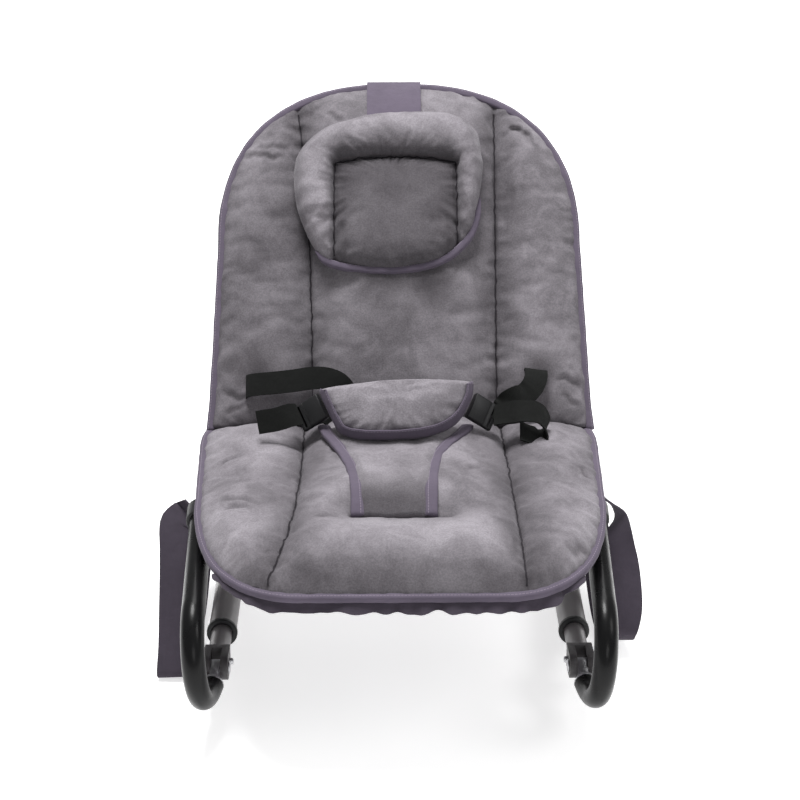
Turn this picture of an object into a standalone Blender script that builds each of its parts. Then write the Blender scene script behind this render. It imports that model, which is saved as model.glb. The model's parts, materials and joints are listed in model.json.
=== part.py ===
"""Baby rocker: a padded seat and reclining back on a bent steel tube frame.

Metres, +Z up. The foot end looks along -Y and the head end lies at +Y. The runners stand
on z = 0. The seat frame folds down about the front clevises and the back reclines about
the hubs at the crease of the seat.
"""

import math

import bmesh
import bpy
from mathutils import Matrix, Vector

# Tubes of the frame
RUNNER_D = 0.030
RUNNER_WALL = 0.0014
SPIGOT_D = 0.022
SPIGOT_WALL = 0.0013
BOW_D = 0.024
BOW_WALL = 0.0014
LOOP_D = 0.019
LOOP_WALL = 0.0012
TUBE_SIDES = 12

# Clearances
FIT = 0.0003
REST = 0.0004

# Rocking base
TRACK = 0.378
ROCKER_R = 1.08
CONTACT_Y = 0.020
RUNNER_FRONT_Y = -0.160
RUNNER_REAR_Y = 0.2888
SPIGOT_INSIDE = 0.060
STATION_STEP = 0.030
GRIP_LENGTH = 0.210
GRIP_WIDTH = 0.012
GRIP_THICK = 0.0022
ELBOW_WALL = 0.0024
ELBOW_BEND_R = 0.022
ELBOW_GRASP = 0.024
COLLAR_LIP = 0.0065
COLLAR_SKIRT = 0.018
COLLAR_PROUD = 0.0016

# Fold joint at the front of each runner
CLEVIS_Y = -0.2455
EAR_R = 0.0128
FORK_WIDTH = 0.026
TONGUE_THICK = 0.010
TONGUE_R = 0.0085
FORK_BODY = 0.030
FORK_PLUG = 0.022
PIN_R = 0.004
PIN_HEAD_R = 0.0066
PIN_HEAD = 0.0018
FOLD_BUTTON_R = 0.0036
FOLD_BUTTON_BACK = 0.0155
FOLD_BUTTON_PROUD = 0.0042
FOLD_BUTTON_TRAVEL = 0.0025

# Front bows
BOW_BEND_R = 0.052
BOW_BEND_Y = -0.2705
BOW_BEND_Z = 0.097
BOW_TOP_X = 0.2040
BOW_FOOT_X = 0.1915
EYE_PLUG = 0.010
BRACKET_OUT = 0.0255
BRACKET_Y = -0.1105
BRACKET_Z = 0.1553
BRACKET_LENGTH = 0.034
BRACKET_WALL = 0.0033
BRACKET_GRASP = 0.020

# Seat and back planes, measured from the recline axis in the crease
CREASE_Y = 0.038
CREASE_Z = 0.147
SEAT_TILT = math.radians(6.0)
BACK_ANGLE = math.radians(47.8)
SEAT_LOOP_X = 0.183
BACK_LOOP_X = 0.196
SEAT_LOOP_INSET = 0.028
SEAT_LOOP_CORNER = 0.120
BACK_LOOP_INSET = 0.022
BACK_LOOP_CORNER = 0.150

# Recline hubs
HUB_R = 0.022
HUB_THICK = 0.0138
HUB_SOCKET_R = 0.0130
HUB_SOCKET_END = 0.056
HUB_SOCKET_DEPTH = 0.030
HUB_PIN_R = 0.004
GEAR_R = 0.0150
GEAR_ROOT_R = 0.0128
GEAR_TEETH = 16
GEAR_THICK = 0.0055
GEAR_ROOM = 0.0062
RECLINE_BUTTON_R = 0.0085
RECLINE_BUTTON_HIGH = 0.0085
RECLINE_BUTTON_ROOM = 0.0072
RECLINE_BUTTON_TRAVEL = 0.0025

# Padded cover
PAD_UNDER = 0.0134
PAD_RIM = 0.0200
PAD_CROWN = 0.0470
PAD_INSET = 0.006
SEAM_DEPTH = 0.013
SEAM_WIDTH = 0.010
SEAM_X = 0.106
SEAT_LENGTH = 0.350
SEAT_HALF = 0.218
SEAT_CREASE_HALF = 0.221
SEAT_CORNER_X = 0.065
SEAT_CORNER_START = 0.185
SEAT_CHANNEL = 0.240
BACK_LENGTH = 0.424
BACK_HALF = 0.211
BACK_LOW_HALF = 0.217
BACK_CORNER_START = 0.225
BACK_CORNER_POWER = 2.45
HUB_POCKET_R = 0.0236
CREASE_GAP = 0.0003

# Loose soft pieces
HEADREST_X = -0.008
HEADREST_WIDTH = 0.220
HEADREST_BOTTOM = 0.195
HEADREST_TOP = 0.385
HEADREST_THICK = 0.036
PANEL_HALF_U = 0.62
PANEL_HALF_V = 0.66
PANEL_LOW_V = 0.14
PANEL_DIP = 0.42
BAND_WIDTH = 0.062
BAND_THICK = 0.0024
BAND_OVERLAP = 0.034
BAND_TUCK = 0.024
BAND_SLACK = 0.001
BELLY_WIDTH = 0.168
BELLY_THICK = 0.014
CROTCH_THICK = 0.008
CROTCH_EDGE = 0.004
CROTCH_DIP = 0.0086
WEBBING_WIDTH = 0.025
WEBBING_THICK = 0.0022
HEM_THICK = 0.0030
HEM_INSET = 0.0090
HEM_DROP = 0.026
HANDLE_WIDTH = 0.029
HANDLE_THICK = 0.0022

# Harness buckles
BUCKLE_RISE = 0.60
BUCKLE_HEIGHT = 0.030
BUCKLE_THICK = 0.0095
BUCKLE_LENGTH = 0.020
PRONG_LENGTH = 0.014
BELT_SLOT_X = 0.160
BELT_SLOT_B = 0.092
BELT_LEADS = (0.006, 0.022)
BELT_RISES = (0.025, 0.005)
BUCKLE_FORWARD = 0.0045

LEFT, RIGHT = -1, 1
SIDES = (("left", LEFT), ("right", RIGHT))
X = Vector((1, 0, 0))
Y = Vector((0, 1, 0))
Z = Vector((0, 0, 1))


for old in list(bpy.data.objects):
    bpy.data.objects.remove(old, do_unlink=True)


def make_material(name, colour, roughness, metallic=0.0):
    material = bpy.data.materials.new(name)
    material.use_nodes = True
    shader = material.node_tree.nodes["Principled BSDF"]
    shader.inputs["Base Color"].default_value = (*colour, 1.0)
    shader.inputs["Roughness"].default_value = roughness
    shader.inputs["Metallic"].default_value = metallic
    return material


GREY_PAINT = ("grey_paint", (0.15, 0.14, 0.145), 0.42, 0.35)
BLACK_PAINT = ("black_paint", (0.012, 0.012, 0.013), 0.32, 0.1)
BLACK_PLASTIC = ("black_plastic", (0.02, 0.02, 0.022), 0.5, 0.0)
GREY_PLASTIC = ("grey_plastic", (0.11, 0.10, 0.105), 0.5, 0.0)
STEEL = ("zinc_steel", (0.55, 0.55, 0.56), 0.3, 1.0)
RUBBER = ("black_rubber", (0.02, 0.02, 0.02), 0.85, 0.0)
VELOUR = ("velour", (0.22, 0.20, 0.215), 0.9, 0.0)
COVER_CLOTH = ("cover_cloth", (0.16, 0.13, 0.19), 0.85, 0.0)
WEBBING = ("webbing", (0.012, 0.013, 0.012), 0.8, 0.0)


def empty(name, location=(0, 0, 0), rotation_x=0.0, parent=None):
    """A frame that pieces are placed in, or that stands on the axis they turn about."""
    frame = bpy.data.objects.new(name, None)
    frame.empty_display_size = 0.03
    frame.location = location
    frame.rotation_euler = (rotation_x, 0, 0)
    frame.parent = parent
    bpy.context.collection.objects.link(frame)
    bpy.context.view_layer.update()
    return frame


def add_object(name, bm, finish, parent, smooth_angle=35):
    """Turns a bmesh, built in the parent's own coordinates, into a named piece."""
    bmesh.ops.recalc_face_normals(bm, faces=bm.faces)
    mesh = bpy.data.meshes.new(name)
    bm.to_mesh(mesh)
    bm.free()
    if smooth_angle:
        mesh.shade_smooth()
        mesh.set_sharp_from_angle(angle=math.radians(smooth_angle))
    piece = bpy.data.objects.new(name, mesh)
    piece.parent = parent
    if finish:
        mesh.materials.append(bpy.data.materials.get(finish[0]) or make_material(*finish))
    bpy.context.collection.objects.link(piece)
    return piece


def skin(bm, rings, closed=False):
    """Joins rings of points into one surface, capped at its ends or run back to the start."""
    loops = [[bm.verts.new(point) for point in ring] for ring in rings]
    pairs = list(zip(loops, loops[1:]))
    if closed:
        pairs.append((loops[-1], loops[0]))
    for first, second in pairs:
        for i in range(len(first)):
            j = (i + 1) % len(first)
            bm.faces.new((first[i], first[j], second[j], second[i]))
    if not closed:
        bm.faces.new(loops[0])
        bm.faces.new(loops[-1])


def ring(centre, tangent, up, radius, sides):
    """A circle of points across a path, with a flat facet facing against up."""
    side = tangent.cross(up).normalized()
    true_up = side.cross(tangent).normalized()
    points = []
    for k in range(sides):
        angle = 2 * math.pi * (k + 0.5) / sides - math.pi / 2
        points.append(centre + radius * (math.cos(angle) * side + math.sin(angle) * true_up))
    return points


def tangents(path):
    count = len(path)
    return [(path[min(i + 1, count - 1)] - path[max(i - 1, 0)]).normalized() for i in range(count)]


def pipe(name, path, up, diameter, wall, finish, parent, sides=TUBE_SIDES):
    """A hollow tube, open at both ends, along a path."""
    along = tangents(path)
    outer = [ring(p, t, up, diameter / 2, sides) for p, t in zip(path, along)]
    inner = [ring(p, t, up, diameter / 2 - wall, sides) for p, t in zip(path, along)]
    bm = bmesh.new()
    skin(bm, outer + inner[::-1], closed=True)
    return add_object(name, bm, finish, parent)


def turned(bm, origin, axis, stations, sides=24, up=None):
    """A round solid: stations are (distance along the axis, radius) from end to end."""
    axis = axis.normalized()
    up = up or (Z if abs(axis.z) < 0.9 else Y)
    skin(bm, [ring(origin + a * axis, axis, up, r, sides) for a, r in stations])


def rounded_path(corners, bend, steps=6):
    """Straight runs joined by bends of one radius."""
    path = [corners[0]]
    for before, at, after in zip(corners, corners[1:], corners[2:]):
        inward = (before - at).normalized()
        outward = (after - at).normalized()
        half = inward.angle(outward) / 2
        reach = bend / math.tan(half)
        centre = at + (inward + outward).normalized() * (bend / math.sin(half))
        start = at + inward * reach - centre
        end = at + outward * reach - centre
        turn = start.angle(end)
        axis = start.cross(end).normalized()
        for k in range(steps + 1):
            path.append(centre + Matrix.Rotation(turn * k / steps, 3, axis) @ start)
    path.append(corners[-1])
    return path


def box(bm, low, high):
    """A block between two corners."""
    made = bmesh.ops.create_cube(bm, size=1.0)["verts"]
    size = [b - a for a, b in zip(low, high)]
    middle = [(a + b) / 2 for a, b in zip(low, high)]
    bmesh.ops.scale(bm, vec=size, verts=made)
    bmesh.ops.translate(bm, vec=middle, verts=made)
    return made


def combine(piece, other, operation):
    """Cuts a helper from a piece, or joins it on, and hides the helper."""
    other.hide_render = True
    other.display_type = "WIRE"
    modifier = piece.modifiers.new(other.name, "BOOLEAN")
    modifier.operation = operation
    modifier.object = other
    modifier.solver = "EXACT"


def helper(name, bm, parent):
    return add_object(name, bm, None, parent, smooth_angle=0)


# Rocking base: two curved runners, joined at the rear by elbows and a crossbar
base = empty("base")

FACET_R = RUNNER_D / 2 * math.cos(math.pi / TUBE_SIDES)
GRIP_TOP = FACET_R + FIT
RUNNER_LOW = GRIP_TOP + GRIP_THICK
STATION_SAG = ROCKER_R - math.sqrt(ROCKER_R**2 - (STATION_STEP / 2) ** 2)


def rocker_point(x, y, drop=0.0):
    """A point on the runner's centre line, or below it along the rocker's radius."""
    slope = math.asin((y - CONTACT_Y) / ROCKER_R)
    centre_z = RUNNER_LOW - STATION_SAG + ROCKER_R * (1 - math.cos(slope))
    return Vector((x, y + drop * math.sin(slope), centre_z - drop * math.cos(slope)))


def rocker_stations(low, high):
    """Stations a step apart, placed so that one flat run is centred on the contact point."""
    first = math.ceil((low - CONTACT_Y) / STATION_STEP - 0.5 + 0.2)
    last = math.floor((high - CONTACT_Y) / STATION_STEP - 0.5 - 0.2)
    inner = [CONTACT_Y + (k + 0.5) * STATION_STEP for k in range(first, last + 1)]
    return [low] + inner + [high]


def rocker_path(x, low, high):
    return [rocker_point(x, y) for y in rocker_stations(low, high)]


SPIGOT_REAR_Y = RUNNER_FRONT_Y + SPIGOT_INSIDE
fork_slope = math.asin((CLEVIS_Y - CONTACT_Y) / ROCKER_R)
SPIGOT_FRONT_Y = CLEVIS_Y + (FORK_BODY + 3 * FIT) * math.cos(fork_slope)

for word, side in SIDES:
    x = side * TRACK / 2
    pipe(f"runner_{word}", rocker_path(x, RUNNER_FRONT_Y, RUNNER_REAR_Y), Z, RUNNER_D,
         RUNNER_WALL, GREY_PAINT, base)
    pipe(f"spigot_tube_{word}", rocker_path(x, SPIGOT_FRONT_Y, SPIGOT_REAR_Y), Z, SPIGOT_D,
         SPIGOT_WALL, GREY_PAINT, base)

    # Collar: a plastic bush pressed into the runner's mouth, round the spigot tube
    mouth = [rocker_point(x, RUNNER_FRONT_Y - d) for d in (COLLAR_LIP, 0.0012)]
    inside = [rocker_point(x, RUNNER_FRONT_Y - d) for d in (-FIT, -COLLAR_SKIRT)]
    along = (inside[1] - mouth[0]).normalized()
    bore_r = SPIGOT_D / 2 + FIT
    lip_r = RUNNER_D / 2 + COLLAR_PROUD
    skirt_r = (RUNNER_D / 2 - RUNNER_WALL) * math.cos(math.pi / TUBE_SIDES) - FIT
    face = rocker_point(x, RUNNER_FRONT_Y - FIT)
    outer = [(mouth[0], lip_r - 0.0012), (mouth[0] + along * 0.0012, lip_r), (face, lip_r),
             (face, skirt_r), (inside[1], skirt_r)]
    bm = bmesh.new()
    rings = [ring(p, along, Z, r, 2 * TUBE_SIDES) for p, r in outer]
    rings += [ring(p, along, Z, bore_r, 2 * TUBE_SIDES) for p in (inside[1], mouth[0])]
    skin(bm, rings, closed=True)
    add_object(f"runner_collar_{word}", bm, BLACK_PLASTIC, base)

    # Grip: a flat rubber strip clipped along the underside of the runner
    half = GRIP_LENGTH / 2
    stations = rocker_stations(CONTACT_Y - half, CONTACT_Y + half)
    bm = bmesh.new()
    w = GRIP_WIDTH / 2
    section = ((-w, GRIP_TOP), (w, GRIP_TOP), (w, GRIP_TOP + 0.0012), (w - 0.001, RUNNER_LOW),
               (-w + 0.001, RUNNER_LOW), (-w, GRIP_TOP + 0.0012))
    skin(bm, [[rocker_point(x + a, y, d) for a, d in section] for y in stations])
    add_object(f"runner_grip_{word}", bm, RUBBER, base, smooth_angle=20)

rear_z = rocker_point(0, RUNNER_REAR_Y).z
rear_slope = math.asin((RUNNER_REAR_Y - CONTACT_Y) / ROCKER_R)
elbow_run = ELBOW_BEND_R + 0.006
corner_y = RUNNER_REAR_Y + elbow_run * math.cos(rear_slope)
corner_z = rear_z + elbow_run * math.sin(rear_slope)
bar_half = TRACK / 2 - elbow_run

for word, side in SIDES:
    x = side * TRACK / 2
    start_y = RUNNER_REAR_Y - ELBOW_GRASP
    corners = [rocker_point(x, start_y), Vector((x, corner_y, corner_z)),
               Vector((side * (bar_half - ELBOW_GRASP), corner_y, corner_z))]
    path = rounded_path(corners, ELBOW_BEND_R)
    bore = RUNNER_D / 2 + 2 * FIT
    outer = [ring(p, t, Z, bore + ELBOW_WALL, 16) for p, t in zip(path, tangents(path))]
    inner = [ring(p, t, Z, bore, 16) for p, t in zip(path, tangents(path))]
    bm = bmesh.new()
    skin(bm, outer + inner[::-1], closed=True)
    add_object(f"rear_elbow_{word}", bm, BLACK_PLASTIC, base)

bar = [Vector((side * bar_half, corner_y, corner_z)) for side in (LEFT, RIGHT)]
pipe("rear_crossbar", bar, Z, RUNNER_D, RUNNER_WALL, GREY_PAINT, base)


# Fold joint: a fork on each runner, the bow's eye between its ears, and a pin
clevis_z = rocker_point(0, CLEVIS_Y).z
clevis_axis = empty("clevis_axis", (0, CLEVIS_Y, clevis_z), parent=base)

for word, side in SIDES:
    x = side * TRACK / 2
    fork = empty(f"fork_frame_{word}", (x, CLEVIS_Y, clevis_z), fork_slope, base)
    half = FORK_WIDTH / 2
    outline = [(EAR_R * math.sin(a), EAR_R * math.cos(a))
               for a in [math.pi * k / 10 for k in range(10, 21)]]
    outline = [Vector((-half, y, z)) for y, z in outline]
    outline += [Vector((-half, FORK_BODY, EAR_R)), Vector((-half, FORK_BODY, -EAR_R))]
    bm = bmesh.new()
    face = bm.faces.new([bm.verts.new(p) for p in outline])
    grown = bmesh.ops.extrude_face_region(bm, geom=[face])["geom"]
    moved = [v for v in grown if isinstance(v, bmesh.types.BMVert)]
    bmesh.ops.translate(bm, vec=(FORK_WIDTH, 0, 0), verts=moved)
    piece = add_object(f"fork_{word}", bm, GREY_PLASTIC, fork)

    plug_r = SPIGOT_D / 2 - SPIGOT_WALL - 2 * FIT
    plug = [rocker_point(x, SPIGOT_FRONT_Y + d) for d in (-0.004, FORK_PLUG / 2, FORK_PLUG)]
    plug = [fork.matrix_world.inverted() @ p for p in plug]
    bm = bmesh.new()
    skin(bm, [ring(p, t, Z, plug_r, TUBE_SIDES) for p, t in zip(plug, tangents(plug))])
    combine(piece, helper(f"fork_plug_{word}", bm, fork), "UNION")

    slot = TONGUE_THICK / 2 + FIT
    bm = bmesh.new()
    box(bm, (-slot, -2 * EAR_R, -2 * EAR_R), (slot, FORK_BODY - 0.008, 2 * EAR_R))
    combine(piece, helper(f"fork_slot_{word}", bm, fork), "DIFFERENCE")

    bm = bmesh.new()
    turned(bm, Vector((-FORK_WIDTH, 0, 0)), X,
           [(0, PIN_R + FIT), (2 * FORK_WIDTH, PIN_R + FIT)], sides=16)
    combine(piece, helper(f"fork_bore_{word}", bm, fork), "DIFFERENCE")

    inner = -side
    bm = bmesh.new()
    turned(bm, Vector((inner * slot * 0.5, FOLD_BUTTON_BACK, 0)), inner * X,
           [(0, FOLD_BUTTON_R + FIT), (FORK_WIDTH, FOLD_BUTTON_R + FIT)], sides=16)
    combine(piece, helper(f"fork_button_hole_{word}", bm, fork), "DIFFERENCE")

    # Pivot pin: a rivet through both ears, with a head at each end
    head = half + FIT
    bm = bmesh.new()
    turned(bm, Vector((0, 0, 0)), X,
           [(-head - PIN_HEAD, PIN_HEAD_R - 0.001), (-head - PIN_HEAD / 2, PIN_HEAD_R),
            (-head, PIN_HEAD_R), (-head, PIN_R), (head, PIN_R), (head, PIN_HEAD_R),
            (head + PIN_HEAD / 2, PIN_HEAD_R), (head + PIN_HEAD, PIN_HEAD_R - 0.001)], sides=16)
    add_object(f"clevis_pin_{word}", bm, STEEL, fork)

    # Fold button: a sprung catch in the inner ear, pressed into the slot
    button = empty(f"fold_button_frame_{word}", (0, FOLD_BUTTON_BACK, 0), parent=fork)
    inside = slot + FOLD_BUTTON_TRAVEL + FIT
    proud = half + FOLD_BUTTON_PROUD
    bm = bmesh.new()
    turned(bm, Vector((0, 0, 0)), inner * X,
           [(inside - FOLD_BUTTON_TRAVEL, FOLD_BUTTON_R - 0.0008),
            (inside - FOLD_BUTTON_TRAVEL + 0.0008, FOLD_BUTTON_R), (proud - 0.001, FOLD_BUTTON_R),
            (proud, FOLD_BUTTON_R - 0.0012)], sides=16)
    add_object(f"fold_button_{word}", bm, STEEL, button)


# Front bows: each springs from its eye, round the foot end and back to its bracket
bracket_x = SEAT_LOOP_X + BRACKET_OUT


def bow_path(side):
    """From the bracket forward, round the front bend, and down to the eye."""
    centre = Vector((0, BOW_BEND_Y, BOW_BEND_Z))
    start_y = BRACKET_Y + BRACKET_LENGTH / 2 - BRACKET_GRASP
    start = Vector((side * bracket_x, start_y, BRACKET_Z))
    path = [start]
    bend_end = math.radians(272)
    bend_start = math.radians(90)
    steps = 11
    for k in range(steps + 1):
        share = k / steps
        angle = bend_start + (bend_end - bend_start) * share
        toe = BOW_TOP_X + (BOW_FOOT_X - BOW_TOP_X) * share**2.2
        point = centre + BOW_BEND_R * Vector((0, math.cos(angle), math.sin(angle)))
        path.append(Vector((side * toe, point.y, point.z)))
    middle = (path[0] + path[1]) / 2
    return [path[0], middle] + path[1:]


for word, side in SIDES:
    path = bow_path(side)
    along = tangents(path)
    outer = [ring(p, t, X, BOW_D / 2, TUBE_SIDES) for p, t in zip(path, along)]
    inner = [ring(p, t, X, BOW_D / 2 - BOW_WALL, TUBE_SIDES) for p, t in zip(path, along)]
    bm = bmesh.new()
    skin(bm, [[p - clevis_axis.location for p in r] for r in outer + inner[::-1]], closed=True)
    add_object(f"bow_{word}", bm, BLACK_PAINT, clevis_axis)

    # Eye: a plug in the bow's end, flattened to a tongue round the pivot pin
    foot = path[-1] - clevis_axis.location
    toward = -along[-1]
    plug_r = BOW_D / 2 - BOW_WALL - FIT - EYE_PLUG**2 / (2 * BOW_BEND_R)
    bm = bmesh.new()
    turned(bm, foot, toward,
           [(EYE_PLUG, plug_r - 0.001), (EYE_PLUG - 0.002, plug_r), (-FIT, plug_r),
            (-FIT, BOW_D / 2), (-0.0035, BOW_D / 2), (-0.0060, TONGUE_THICK / 2 + 0.001)],
           sides=TUBE_SIDES, up=X)
    piece = add_object(f"bow_eye_{word}", bm, STEEL, clevis_axis)
    hub = Vector((side * TRACK / 2, 0, 0))
    reach = Vector((0, foot.y, foot.z))
    back = reach.normalized()
    across = X.cross(back)
    outline = [hub + TONGUE_R * (math.cos(a) * -back + math.sin(a) * across)
               for a in [math.pi * k / 8 - math.pi / 2 for k in range(9)]]
    outline += [hub + reach * 0.80 + across * TONGUE_R, hub + reach * 0.80 - across * TONGUE_R]
    bm = bmesh.new()
    face = bm.faces.new([bm.verts.new(p - X * TONGUE_THICK / 2) for p in outline])
    grown = bmesh.ops.extrude_face_region(bm, geom=[face])["geom"]
    moved = [v for v in grown if isinstance(v, bmesh.types.BMVert)]
    bmesh.ops.translate(bm, vec=(TONGUE_THICK, 0, 0), verts=moved)
    combine(piece, helper(f"eye_tongue_{word}", bm, clevis_axis), "UNION")
    bm = bmesh.new()
    turned(bm, hub - X * FORK_WIDTH, X, [(0, PIN_R + FIT), (2 * FORK_WIDTH, PIN_R + FIT)],
           sides=16)
    combine(piece, helper(f"eye_bore_{word}", bm, clevis_axis), "DIFFERENCE")


# Seat frame: a U of tube, seen in its own plane with the foot end along -Y
seat_plane = empty("seat_plane", Vector((0, CREASE_Y, CREASE_Z)) - clevis_axis.location,
                   -SEAT_TILT, clevis_axis)
recline_axis = empty("recline_axis", Vector((0, CREASE_Y, CREASE_Z)) - clevis_axis.location,
                     0.0, clevis_axis)
back_plane = empty("back_plane", (0, 0, 0), BACK_ANGLE, recline_axis)

TUBE_START = HUB_SOCKET_END - HUB_SOCKET_DEPTH + FIT


def loop_path(half, length, corner, direction, steps):
    """A U that leaves one hub, turns two corners and comes back to the other hub."""
    corners = [Vector((-half, direction * TUBE_START, 0)), Vector((-half, direction * length, 0)),
               Vector((half, direction * length, 0)), Vector((half, direction * TUBE_START, 0))]
    return rounded_path(corners, corner, steps)


seat_loop_length = SEAT_LENGTH - SEAT_LOOP_INSET
back_loop_length = BACK_LENGTH - BACK_LOOP_INSET
seat_loop = loop_path(SEAT_LOOP_X, seat_loop_length, SEAT_LOOP_CORNER, -1, 7)
back_loop = loop_path(BACK_LOOP_X, back_loop_length, BACK_LOOP_CORNER, 1, 8)
pipe("seat_loop", seat_loop, Z, LOOP_D, LOOP_WALL, BLACK_PAINT, seat_plane)
pipe("back_loop", back_loop, Z, LOOP_D, LOOP_WALL, BLACK_PAINT, back_plane)


# Bow brackets: moulded clamps that carry the seat frame on the bows
for word, side in SIDES:
    bow_end = seat_plane.matrix_world.inverted() @ Vector((side * bracket_x, BRACKET_Y, BRACKET_Z))
    path = [seat_plane.matrix_world.inverted() @ p for p in bow_path(side)[:2]]
    bow_axis = (path[1] - path[0]).normalized()
    half = BRACKET_LENGTH / 2
    sleeve_r = LOOP_D / 2 + FIT + BRACKET_WALL
    boss_r = BOW_D / 2 + FIT + BRACKET_WALL
    seat_at = Vector((side * SEAT_LOOP_X, bow_end.y, 0))
    bm = bmesh.new()
    turned(bm, seat_at, Y, [(-half, sleeve_r - 0.001), (-half + 0.001, sleeve_r),
                            (half - 0.001, sleeve_r), (half, sleeve_r - 0.001)], sides=20)
    piece = add_object(f"bow_bracket_{word}", bm, BLACK_PLASTIC, seat_plane)
    boss_start = path[0] - bow_axis * 0.006
    bm = bmesh.new()
    turned(bm, boss_start, bow_axis,
           [(0, boss_r - 0.003), (0.003, boss_r), (BRACKET_GRASP + 0.005, boss_r),
            (BRACKET_GRASP + 0.006, boss_r - 0.001)], sides=20)
    combine(piece, helper(f"bracket_boss_{word}", bm, seat_plane), "UNION")
    low_x, high_x = sorted((side * SEAT_LOOP_X, side * bracket_x))
    bm = bmesh.new()
    box(bm, (low_x, bow_end.y - half + 0.003, -0.011), (high_x, bow_end.y + half - 0.003, 0.0045))
    combine(piece, helper(f"bracket_web_{word}", bm, seat_plane), "UNION")
    bm = bmesh.new()
    turned(bm, seat_at, Y, [(-2 * half, LOOP_D / 2 + FIT), (2 * half, LOOP_D / 2 + FIT)], sides=20)
    combine(piece, helper(f"bracket_loop_bore_{word}", bm, seat_plane), "DIFFERENCE")
    bm = bmesh.new()
    turned(bm, path[0] - bow_axis * FIT, bow_axis,
           [(0, BOW_D / 2 + FIT), (2 * BRACKET_LENGTH, BOW_D / 2 + FIT)], sides=20)
    combine(piece, helper(f"bracket_bow_bore_{word}", bm, seat_plane), "DIFFERENCE")


# Recline hubs: a seat half and a back half on one pin, with a toothed lock gear between
def toothed(radius, root, teeth):
    """The outline of a gear: three points to each flank pair."""
    outline = []
    for k in range(teeth):
        for share, r in ((0.0, root), (0.25, root), (0.45, radius), (0.80, radius)):
            angle = 2 * math.pi * (k + share) / teeth
            outline.append((r * math.cos(angle), r * math.sin(angle)))
    return outline


def extruded(bm, outline, x_from, x_to):
    """A prism along X from an outline in the YZ plane."""
    skin(bm, [[Vector((x, a, b)) for a, b in outline] for x in (x_from, x_to)])


hub_inner_x = SEAT_LOOP_X - HUB_THICK / 2
hub_split_x = SEAT_LOOP_X + HUB_THICK / 2
hub_outer_x = hub_split_x + FIT + HUB_THICK

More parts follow.
